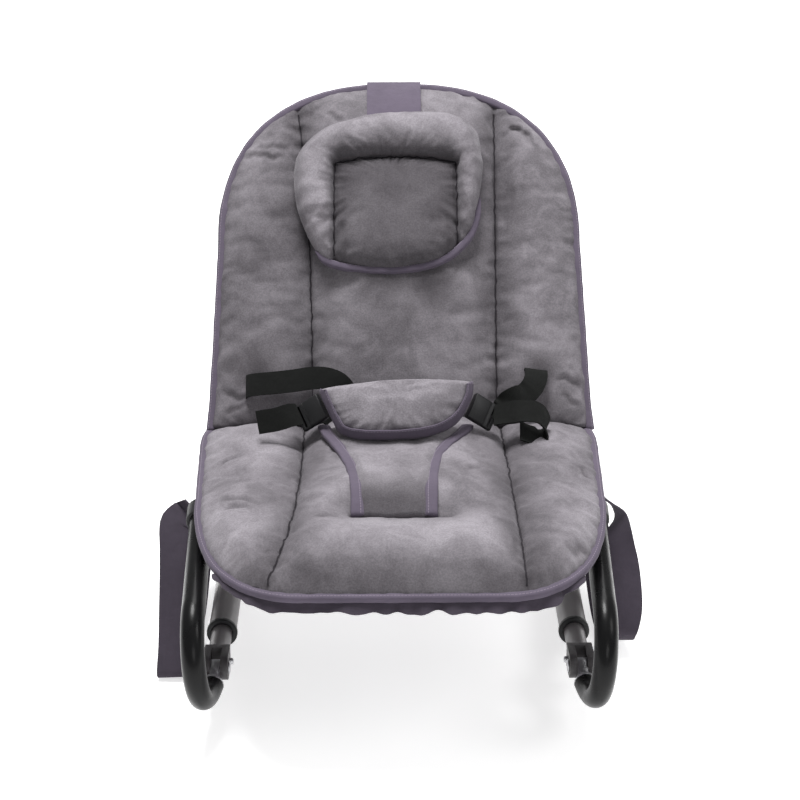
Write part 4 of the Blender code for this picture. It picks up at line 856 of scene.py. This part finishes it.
# Bindings of the two pads: a folded tape of cover cloth, sewn with one row of stitches round the
# edge of each half of the cover.
BINDING_HIGH = 0.018
rims = {}
for name, body, plane, shift, cut, direction, a, b in (
        ("seat_binding", "seat", seat_frame, SEAT_SHIFT, seat_cut, -1, 0.005, 0.004),
        ("back_binding", "back", back_frame, BACK_SHIFT, back_cut, 1, 0.0048, 0.005)):
    rim = evenly(cut.rim(direction), 300)
    out = [direction * tangent.cross(Z) * -1 for tangent in directions(rim)]
    rim = [point + o * 0.0005 + Z * BINDING_HIGH for point, o in zip(rim, out)]
    if body == "seat":
        rim = [point - Z * seat_droop(point.x, -point.y) for point in rim]
    rims[body] = (rim, out)
    tape = taped(name, rim, out, [Z] * len(rim), a, b)
    tape.data.transform(plane @ Matrix.Translation((shift, 0, 0)))
    placed(tape, body, "cover_cloth")


# Headrest: a stuffed roll round the top and sides of a flatter middle, with a bound lower edge. It
# hangs from a band sewn to the back's top edge, and turns over that edge with it.
def radial(outline, centre):
    """A smooth closed outline's distance from its centre, in any direction."""
    loop = evenly([Vector((x, y, 0)) for x, y in outline], 200, closed=True)[:-1]
    turns = np.array([math.atan2(p.y - centre[1], p.x - centre[0]) for p in loop])
    far = np.array([math.hypot(p.x - centre[0], p.y - centre[1]) for p in loop])
    order = np.argsort(turns)
    return lambda turn: float(np.interp(turn, turns[order], far[order], period=2 * math.pi))


def depth_in(reach, centre):
    """How far inside an outline a place is."""
    return lambda x, y: (reach(math.atan2(y - centre[1], x - centre[0]))
                         - math.hypot(x - centre[0], y - centre[1]))


def pillow(name, reach, centre, top, columns):
    """A closed cushion inside an outline: top(x, y, inside) is its height, inside is how far the
    place is from the edge, and its underside is flat."""
    rim = 0.004
    bm = bmesh.new()
    bmesh.ops.create_grid(bm, x_segments=columns, y_segments=columns, size=1.0)
    made = bmesh.ops.extrude_face_region(bm, geom=bm.faces[:])["geom"]
    under = set(points_in({"geom": made}))
    for vert in bm.verts:
        u, v = vert.co.x, vert.co.y
        u, v = u * math.sqrt(1 - v * v / 2), v * math.sqrt(1 - u * u / 2)
        share, turn = min(1.0, math.hypot(u, v)), math.atan2(v, u)
        far = reach(turn) * share
        x, y = centre[0] + far * math.cos(turn), centre[1] + far * math.sin(turn)
        if vert in under:
            back = 1 - rim * share**8 / reach(turn)
            vert.co = (centre[0] + (x - centre[0]) * back, centre[1] + (y - centre[1]) * back, 0)
        else:
            inside = reach(turn) * (1 - share)
            vert.co = (x, y, rim + (top(x, y, inside) - rim) * min(1.0, inside / 0.012) ** 0.5)
    bmesh.ops.recalc_face_normals(bm, faces=bm.faces)
    return add_mesh(name, bm, velour.material)


def textured(piece, shape):
    """Lifts each upper point by shape(x, y), which also gives the painted shade there."""
    points = points_of(piece.data)
    painted_shade = np.zeros(len(points))
    for i, (x, y, z) in enumerate(points):
        if z > 0.003:
            lift, painted_shade[i] = shape(x, y)
            points[i][2] += lift
    reshaped(piece, points, painted_shade)


def moulded_onto(piece, place):
    """Lays a flat cushion onto a curved place: place(x, y, z) is where its point goes."""
    for vert in piece.data.vertices:
        vert.co = place(*vert.co)
    piece.data.update()


HEAD_CENTRE = (-0.006, 0.288)
HEAD_OUTLINE = ((-0.057, 0.365), (-0.017, 0.374), (0.029, 0.375), (0.063, 0.373), (0.08, 0.366),
                (0.0945, 0.35), (0.0987, 0.3265), (0.1007, 0.309), (0.0957, 0.273),
                (0.0896, 0.241), (0.078, 0.22), (0.05, 0.198), (0.005, 0.188), (-0.045, 0.19),
                (-0.077, 0.198), (-0.0905, 0.211), (-0.103, 0.235), (-0.1135, 0.268),
                (-0.1155, 0.307), (-0.108, 0.331), (-0.083, 0.355))
PANEL_MIDDLE = 0.0
PANEL_HALF = 0.0695
PANEL_TOP = 0.313
head_reach = radial(HEAD_OUTLINE, HEAD_CENTRE)
head_inside = depth_in(head_reach, HEAD_CENTRE)


def panel_edge(x, b):
    """How far a place is outside the headrest's flat middle; negative inside it."""
    across = abs(x - PANEL_MIDDLE) - PANEL_HALF
    above = b - PANEL_TOP - 0.007 * (1 - ((x - PANEL_MIDDLE) / PANEL_HALF) ** 2)
    return max(across, above)


def head_top(x, b, inside):
    out = panel_edge(x, b)
    if out < 0:
        return 0.0145 + 0.0085 * min(1.0, -out / 0.03) ** 0.6
    share = out / max(out + inside, 1e-4)
    fade = min(1.0, max(0.0, (b - 0.19) / 0.07)) ** 0.7
    if x > 0:
        fade *= 0.35 + 0.65 * min(1.0, max(0.0, (b - 0.205) / 0.085))
    return 0.015 + 0.02 * fade * max(0.0, 1 - (2 * share - 1) ** 2) ** 0.5


def head_held(point):
    x, b, z = point
    return max(0.0, 1 - abs(panel_edge(x, b)) / 0.004, 1.0 if z < 0.002 else 0.0)


def head_detail(x, b):
    out = abs(panel_edge(x, b))
    inside = max(0.0, head_inside(x, b))
    turn = 0.1 * math.atan2(b - HEAD_CENTRE[1], x - HEAD_CENTRE[0])
    tucks = ripple(turn, out / 4, 88, 41) * bell(out - 0.006, 0.011) * 0.0034
    tucks += ripple(turn, inside / 5, 80, 44) * bell(inside - 0.006, 0.014) * 0.0026
    line = (0.0055 + 0.004 * (b > PANEL_TOP - 0.004)) * bell(out, 0.0032)
    lumps = ripple(x, b, 24, 47) * 0.0022 * min(1.0, out / 0.015, inside / 0.015)
    # Painted shade: a shadow under the roll along the panel's top, dark along its seam and round the
    # rim, and the whole panel darker, most towards its top.
    above = b - PANEL_TOP - 0.005
    top_shade = (1.0 * bell(above, 0.009) + 0.45 * bell(above - 0.012, 0.014)
                 + 0.35 * bell(above + 0.016, 0.02))
    top_shade *= 1 - ease((abs(x - PANEL_MIDDLE) - PANEL_HALF + 0.012) / 0.022)
    sides = 0.5 * bell(out, 0.012)
    if panel_edge(x, b) < 0:
        sides += 0.8 + 0.2 * ease((b - 0.245) / 0.06) + 0.08 * ripple(x, b, 30, 52)
    return tucks + lumps - line, min(1.0, max(bell(out, 0.005), top_shade, sides,
                                              0.45 * bell(inside, 0.008)))


headrest = pillow("padded_headrest", head_reach, HEAD_CENTRE, head_top, 64)
puffed(headrest, 0.0034, head_held, 0.005)
textured(headrest, head_detail)
HEAD_LIFT = 0.0445
moulded_onto(headrest, lambda x, b, z: back_frame @ Vector((x, b, z + HEAD_LIFT)))
placed(headrest, "headrest", "velour", "headrest")

edge = evenly([Vector((x, b, HEAD_LIFT + 0.0065)) for x, b in HEAD_OUTLINE[15:7:-1]], 110)
out = [tangent.cross(Z) for tangent in directions(edge)]
tape = taped("headrest_binding", [p + o * 0.0005 for p, o in zip(edge, out)], out,
             [Z] * len(edge), 0.0042, 0.0062, ends=True, seed=5.0)
tape.data.transform(back_frame)
placed(tape, "headrest", "cover_cloth")


# Headrest band: a wide flat band of cover cloth. It is sewn to the back under the headrest, lies
# over the back's top edge and is fixed behind it, under the tube.
def ground(piece, plane):
    """The height of a finished pad above its plane, at any place on it."""
    back = plane.inverted()
    tree = BVHTree.FromPolygons([back @ vert.co for vert in piece.data.vertices],
                                [tuple(face.vertices) for face in piece.data.polygons])

    def height(x, y, around=0.004):
        found = [tree.ray_cast(Vector((x + dx, y + dy, 0.2)), -Z)[0]
                 for dx in (-around, 0, around) for dy in (-around, 0, around)]
        return max([hit.z for hit in found if hit], default=PAD_RIM)
    return height


on_seat = ground(bpy.data.objects["padded_seat"], seat_frame)
on_back = ground(bpy.data.objects["padded_back"], back_frame)
rows = []
over = [(b, None) for b in (0.362, 0.372, 0.382, 0.391, 0.399, 0.406, 0.412)]
over += [(0.419, 0.0247), (0.4226, 0.0215), (0.4236, 0.0178), (0.4228, 0.013),
         (0.419, 0.006), (0.413, -0.003), (0.405, -0.0118), (0.39, -0.0124),
         (0.374, -0.0124)]
for b, z in over:
    row = []
    for i in range(9):
        x = -0.001 + 0.031 * (i / 4 - 1)
        row.append(Vector((x, b, on_back(x, b) + 0.0016 if z is None else z)))
    rows.append(row)
columns = [evenly(column, 60) for column in zip(*rows)]
band = cloth_piece("headrest_strap", list(zip(*columns)), cover_cloth, 0.0014)
band.data.transform(back_frame)
placed(band, "back", "cover_cloth", "headrest_band")


# Seam threads: each sewn line of the quilting is a thin near-black row in its groove, the thread
# together with the groove's painted shade, a little wavy from the tucks that it pulls in.
def thread_and_shade_row(name, body, plane, places, height, seed):
    path = evenly([Vector((x, y, 0)) for x, y in places], max(30, int(len(places) * 16)))
    rows = []
    for point, along in zip(path, directions(path)):
        side = along.cross(Z)
        middle = point + side * 0.0016 * ripple(point.x, point.y, 130, seed)
        wide = 0.0008 + 0.0005 * ripple(point.x, point.y, 210, seed + 2)
        level = height(middle.x, middle.y, 0.0004)
        rows.append([middle + side * wide * share + Z * (level + 0.0001 + 0.0004 * (share == 0))
                     for share in (-1, 0, 1)])
    row = cloth_piece(name, rows, seam_thread_and_shade, 0.0005)
    row.data.transform(plane)
    placed(row, body, "cover_cloth")


on_head = ground(headrest, back_frame)
for body, plane, shift, lines, step, direction, height, seed in (
        ("seat", seat_frame, SEAT_SHIFT, seat_lines, 0.0415, -1, on_seat, 91),
        ("back", back_frame, BACK_SHIFT, back_lines, 0.0465, 1, on_back, 93)):
    steps = [0.012 + step * k for k in range(9)]
    for i, (word, side) in enumerate(SIDES):
        thread_and_shade_row(f"thread_{body}_{word}", body, plane,
                   [(shift + lines(far)[i], direction * far) for far in steps], height, seed + i)
low, high = PANEL_MIDDLE - PANEL_HALF, PANEL_MIDDLE + PANEL_HALF
panel = [(low, 0.203), (low, 0.24), (low, 0.28), (low + 0.001, 0.309), (low + 0.004, 0.3135)]
panel += [(PANEL_MIDDLE + PANEL_HALF * k / 4, PANEL_TOP + 0.007 * (1 - (k / 4) ** 2))
          for k in (-3, -2, -1, 0, 1, 2, 3)]
panel += [(high - 0.004, 0.3135), (high - 0.001, 0.309), (high, 0.28), (high, 0.24), (high, 0.21)]
thread_and_shade_row("thread_headrest", "headrest", back_frame, panel, on_head, 95)


# Belly pad: a small stuffed shield over the child's waist, curved round it, its sides and lower
# edge bound. The crotch strap runs from under it down into the cross seam of the seat.
BELLY_FOOT = Vector((0, -0.103, 0.0545))
belly_up = Vector((0, 0.034, 0.056)).normalized()
belly_out = X.cross(belly_up)
BELLY_OUTLINE = ((-0.083, 0.056), (-0.045, 0.0608), (-0.002, 0.0645), (0.042, 0.0652),
                 (0.082, 0.0632), (0.0835, 0.058), (0.079, 0.039), (0.061, 0.0144),
                 (0.026, 0.001), (-0.029, -0.0013), (-0.058, 0.0046), (-0.07, 0.02),
                 (-0.0835, 0.05))
BELLY_CENTRE = (-0.003, 0.036)
belly_reach = radial(BELLY_OUTLINE, BELLY_CENTRE)
belly_inside = depth_in(belly_reach, BELLY_CENTRE)


def on_belly(x, y, z):
    """From the belly pad's flat cut to its place, curved round the waist."""
    wrap = 0.022 * (x / 0.084) ** 2
    place = BELLY_FOOT + belly_up * y + X * x + belly_out * (z - wrap)
    return seat_frame @ place


def belly_detail(x, y):
    inside = max(0.0, belly_inside(x, y))
    turn = 0.055 * math.atan2(y - 0.045, x * 0.7)
    low = min(1.0, max(0.0, (0.052 - y) / 0.03))
    gathers = ripple(turn, inside / 8, 105, 61) * bell(inside - 0.006, 0.016) * 0.005 * low
    lumps = ripple(x, y, 34, 63) * 0.0022 * min(1.0, inside / 0.01)
    # Painted shade: darker near the lower edge and in the gathers' valleys.
    return gathers + lumps, max(0.55 * bell(inside, 0.008) * low, -gathers * 150)


belly = pillow("padded_belly", belly_reach, BELLY_CENTRE,
               lambda x, y, inside: 0.0115 - 0.003 * bell(inside, 0.006), 56)
puffed(belly, 0.0026, lambda p: 1.0 if p[2] < 0.002 else 0.0, 0.003)
textured(belly, belly_detail)
moulded_onto(belly, on_belly)
placed(belly, "seat", "velour", "belly_pad")

# Its binding, folded over the sides and the lower edge
edge = evenly([Vector((x, y, 0)) for x, y in (BELLY_OUTLINE[4:] + BELLY_OUTLINE[:1])], 130)
out = [tangent.cross(Z) * -1 for tangent in directions(edge)]
flat = [point - o * 0.0042 for point, o in zip(edge, out)]
points = [on_belly(p.x, p.y, 0.0078) for p in flat]
outs = [(on_belly(p.x + o.x * 0.002, p.y + o.y * 0.002, 0.006) - q).normalized()
        for p, o, q in zip(flat, out, points)]
ups = [(on_belly(p.x, p.y, 0.008) - q).normalized() for p, q in zip(flat, points)]
tape = taped("belly_binding", points, outs, ups, 0.0068, 0.006, seed=7.0)
placed(tape, "seat", "cover_cloth")

STRAP_LEFT = ((0.066, -0.08), (0.082, -0.076), (0.11, -0.065), (0.136, -0.0555),
              (0.16, -0.049), (0.184, -0.045), (0.215, -0.0425), (0.243, -0.0415))
STRAP_RIGHT = ((0.066, 0.077), (0.082, 0.07), (0.11, 0.053), (0.136, 0.0425),
               (0.16, 0.038), (0.184, 0.0355), (0.215, 0.034), (0.243, 0.0335))


def strap_edge(side, s):
    table = STRAP_LEFT if side < 0 else STRAP_RIGHT
    return float(np.interp(s, [row[0] for row in table], [row[1] for row in table]))


def strap_base(s):
    """The strap lies on the seat and dips into its cross seam; behind, it rises to the belly pad."""
    return 0.045 - 0.016 * min(1.0, max(0.0, (s - 0.205) / 0.038)) ** 1.7


def on_strap(x, y, z):
    """From the strap's unit square to its place: x across from -1 to 1, y along from -1 to 1."""
    s = 0.066 + (y + 1) / 2 * (0.243 - 0.066)
    low, high = strap_edge(-1, s), strap_edge(1, s)
    across = low + (high - low) * (x + 1) / 2
    return Vector((across, -s, strap_base(s) + z))


bm = bmesh.new()
bmesh.ops.create_grid(bm, x_segments=48, y_segments=80, size=1.0)
made = bmesh.ops.extrude_face_region(bm, geom=bm.faces[:])["geom"]
under = set(points_in({"geom": made}))
painted_shade = np.zeros(len(bm.verts))
for vert in bm.verts:
    u, v = vert.co.x, vert.co.y
    if vert in under:
        vert.co = on_strap(u, v, 0.0)
        continue
    edge_in = min(1.0, (1 - abs(u)) / 0.25) ** 0.5
    place = on_strap(u, v, 0.0)
    lumps = ripple(place.x, place.y, 40, 71) * 0.003 * edge_in
    wrinkles = ripple(place.x * 0.3, place.y, 75, 73) * 0.0016 * bell(v + 0.2, 0.5)
    full = 0.005 + 0.0055 * bell(v - 0.15, 0.6)
    vert.co = on_strap(u, v, 0.002 + full * edge_in + lumps + wrinkles)
    # Painted shade: darker where the strap dips into the cross seam, and at its end under the belly
    # pad.
    painted_shade[vert.index] = max(1.0 * ease((v - 0.15) / 0.75), 0.7 * bell(v + 1, 0.3))
bmesh.ops.recalc_face_normals(bm, faces=bm.faces)
strap = add_mesh("padded_crotch_strap", bm, velour.material)
reshaped(strap, points_of(strap.data), painted_shade)
strap.data.transform(seat_frame)
placed(strap, "seat", "velour", "crotch_strap")
for word, side in SIDES:
    edge = [on_strap(side * 0.995, -1 + 2 * k / 79, 0.0048) for k in range(80)]
    tape = taped(f"strap_binding_{word}", edge, [X * side] * 80, [Z] * 80, 0.0068, 0.0036,
                 seed=9.0 + side)
    tape.data.transform(seat_frame)
    placed(tape, "seat", "cover_cloth")


# Harness webbing: black ribbed belts. Each comes out of a slot in the back, runs to its buckle, and
# its loose end hangs from there, the left one straight and the right one curled.
def belt(name, route, axes, width, finish, thick, count):
    """A flat band along a route; axes are its wide direction at even steps along the way."""
    path = evenly(route, count)
    along = directions(path)
    wide = [Vector(axis).normalized() for axis in axes]
    rows = []
    for k, (point, tangent) in enumerate(zip(path, along)):
        place = k / (count - 1) * (len(wide) - 1)
        step = min(int(place), len(wide) - 2)
        axis = wide[step].lerp(wide[step + 1], place - step)
        axis = (axis - axis.dot(tangent) * tangent).normalized()
        rows.append([point + axis * width * share for share in (-0.5, -0.3, -0.1, 0.1, 0.3, 0.5)])
    return cloth_piece(name, rows, finish, thick)


WEB_WIDE = 0.0255
WEB_THICK = 0.0017
back_up = Vector((0, 0.672, 0.741))
plug_up = {side: Vector((side * 0.404, 0.698, 0.592)) for word, side in SIDES}
# Each belt: where it runs on the back and then over the seat, and its wide direction on the way
waist = {
    "left": (((-0.168, 0.056, 0.036), (-0.166, 0.0555, 0.048), (-0.156, 0.056, 0.054),
              (-0.12, 0.059, 0.056), (-0.093, 0.0625, 0.057), (-0.077, 0.0615, 0.057),
              (-0.064, 0.056, 0.056), (-0.057, 0.046, 0.053), (-0.059, 0.035, 0.05)),
             ((-0.075, 0.01, 0.202), (-0.086, -0.005, 0.212), (-0.104, -0.019, 0.212)),
             [back_up] * 5 + [(0.2, 0.66, 0.72), (0.8, 0.4, 0.45), (0.7, 0.5, 0.5),
                              (0.0, 0.7, 0.7), plug_up[-1], plug_up[-1]]),
    "right": (((0.156, 0.074, 0.034), (0.156, 0.072, 0.05), (0.155, 0.062, 0.058),
               (0.15, 0.05, 0.062), (0.14, 0.04, 0.065)),
              ((0.127, -0.006, 0.23), (0.115, -0.016, 0.224), (0.104, -0.0195, 0.215)),
              [(-1, 0, 0), (-0.95, 0.15, 0.18), (-0.6, 0.52, 0.58), (0.0, 0.7, 0.7),
               plug_up[1], plug_up[1]])}
for word, side in SIDES:
    on_the_back, to_buckle, axes = waist[word]
    route = [back_frame @ Vector(place) for place in on_the_back]
    route += [Vector(place) for place in to_buckle]
    web = belt(f"waist_webbing_{word}", route, axes, WEB_WIDE, web_cloth, WEB_THICK, 90)
    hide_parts(f"waist_belt_{word}")
    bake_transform(web)

# Each loose end: where it hangs, and its wide direction on the way
tails = {
    "left": (((-0.106, -0.0215, 0.2205), (-0.116, -0.03, 0.224),
              (-0.13, -0.035, 0.222), (-0.151, -0.0385, 0.22)),
             [plug_up[-1], (-0.1, 0.55, 0.83), (0.1, 0.55, 0.83)]),
    "right": (((0.106, -0.022, 0.218), (0.12, -0.026, 0.224), (0.137, -0.028, 0.227),
               (0.154, -0.024, 0.222), (0.1635, -0.022, 0.208), (0.159, -0.026, 0.1965),
               (0.146, -0.031, 0.199), (0.134, -0.033, 0.205)),
              [plug_up[1], (0.2, 0.7, 0.65), (0.5, 0.75, 0.25), (0.35, 0.9, -0.1),
               (0.0, 0.95, 0.2), (0.0, 0.9, 0.4)])}
for word, (route, axes) in tails.items():
    tail = belt(f"webbing_end_{word}", route, axes, WEB_WIDE, web_cloth, WEB_THICK, 70)
    placed(tail, f"buckle_{word}", "webbing")


# Carry handles: two bands of cover cloth, doubled and sewn flat. Both ends of each are sewn under
# the seat's rim, and it hangs from there in a loop that nearly reaches the floor.
HANDLE_WIDE = 0.032
handles = {
    "left": ((-0.211, -0.079, 0.16), (-0.2209, -0.083, 0.14), (-0.2307, -0.092, 0.137),
             (-0.2385, -0.1, 0.134), (-0.2399, -0.108, 0.127), (-0.2391, -0.12, 0.115),
             (-0.2388, -0.14, 0.0916), (-0.2392, -0.162, 0.0616), (-0.2394, -0.185, 0.0325),
             (-0.2406, -0.205, 0.0079), (-0.238, -0.19, 0.003), (-0.232, -0.15, 0.0055),
             (-0.228, -0.1, 0.015), (-0.2255, -0.05, 0.038), (-0.2225, -0.018, 0.075),
             (-0.218, -0.011, 0.115), (-0.214, -0.01, 0.145), (-0.211, -0.011, 0.1635)),
    "right": ((0.211, -0.066, 0.162), (0.223, -0.07, 0.143), (0.232, -0.078, 0.138),
              (0.2385, -0.088, 0.131), (0.2392, -0.1, 0.1222), (0.2398, -0.112, 0.1082),
              (0.2436, -0.126, 0.0918), (0.2464, -0.142, 0.0702), (0.246, -0.156, 0.0513),
              (0.2407, -0.166, 0.0321), (0.237, -0.156, 0.015), (0.231, -0.12, 0.012),
              (0.228, -0.07, 0.025), (0.225, -0.028, 0.06), (0.22, -0.01, 0.105),
              (0.215, -0.009, 0.142), (0.213, -0.01, 0.1635))}
top_turn = {"left": [(-0.95, -0.3, 0), (-1, 0.1, 0)],
            "right": [(0.05, -0.86, 0.5), (0.9, -0.45, 0.1)]}
for word, side in SIDES:
    route = handles[word]
    axes = [-Y] + top_turn[word] + [(side, 0.1, 0), (side, 0.05, 0)] + [(side, 0, 0)] * 4
    axes += [(side * 0.7, -0.7, 0), (side * 0.3, -0.95, 0), -Y]
    # The handles take the darker copy of the cover cloth, painted shade.
    band = belt(f"carry_band_{word}", route, axes, HANDLE_WIDE, cover_cloth_in_shade, 0.0016, 140)
    placed(band, "seat", "cover_cloth", f"carry_handle_{word}")


# Hem and crease: the cover's gathered border, pulled in under the front of the seat by elastic,
# and the strip of cover cloth that joins the two pads at the bottom of the crease.
rim, out = rims["seat"]
chosen = [k for k in range(len(rim)) if rim[k].y < -0.3]
rows = []
for k in chosen:
    point, outward = rim[k], out[k]
    share = (k - chosen[0]) / (len(chosen) - 1)
    end = min(1.0, 6 * min(share, 1 - share))
    row = []
    for i in range(8):
        fall = i / 7
        gather = ripple(point.x, point.y, 80, 81) * 0.006 * fall**0.7
        inward = 0.001 + 0.0075 * fall**1.5 - gather
        drop = (0.0105 + 0.0045 * ripple(point.x, point.y, 42, 83)) * end + 0.001
        place = point - outward * inward
        row.append(Vector((place.x, place.y, point.z - 0.001 - drop * fall)))
    rows.append(row)
# The hem takes the darker copy of the cover cloth, painted shade.
hem = cloth_piece("gathered_hem", rows, cover_cloth_in_shade, 0.001)
hem.data.transform(seat_frame @ Matrix.Translation((SEAT_SHIFT, 0, 0)))
placed(hem, "seat", "cover_cloth", "cover_hem")

CREASE_HIGH = 0.0118
rows = []
for k in range(61):
    x, up = 0.2165 * (k / 30 - 1) + SEAT_SHIFT, 0.216 * (k / 30 - 1) + BACK_SHIFT
    sag = 0.0012 * ripple(x, 0, 50, 87)
    seat_row = [seat_frame @ Vector((x, -far, CREASE_HIGH + dip))
                for far, dip in ((0.05, 0), (0.03, 0), (0.014, sag))]
    back_row = [back_frame @ Vector((up, far, CREASE_HIGH + dip))
                for far, dip in ((0.014, sag), (0.03, 0), (0.05, 0))]
    rows.append(seat_row + [Vector((x, 0.034, 0.1585 + sag))] + back_row)
crease = cloth_piece("crease_cloth", rows, cover_cloth, 0.001)
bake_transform(crease)


# Harness buckles: black moulded plastic, a socket sewn to each side of the belly pad and a pronged
# plug that the waist belt is threaded through. They are as in the CAD, with their edges broken.
for word, side in SIDES:
    fitting(f"buckle_socket_{word}", "seat", "black_plastic", 0.0007)
for word, side in SIDES:
    fitting(f"buckle_plug_{word}", f"buckle_{word}", "black_plastic", 0.0007)
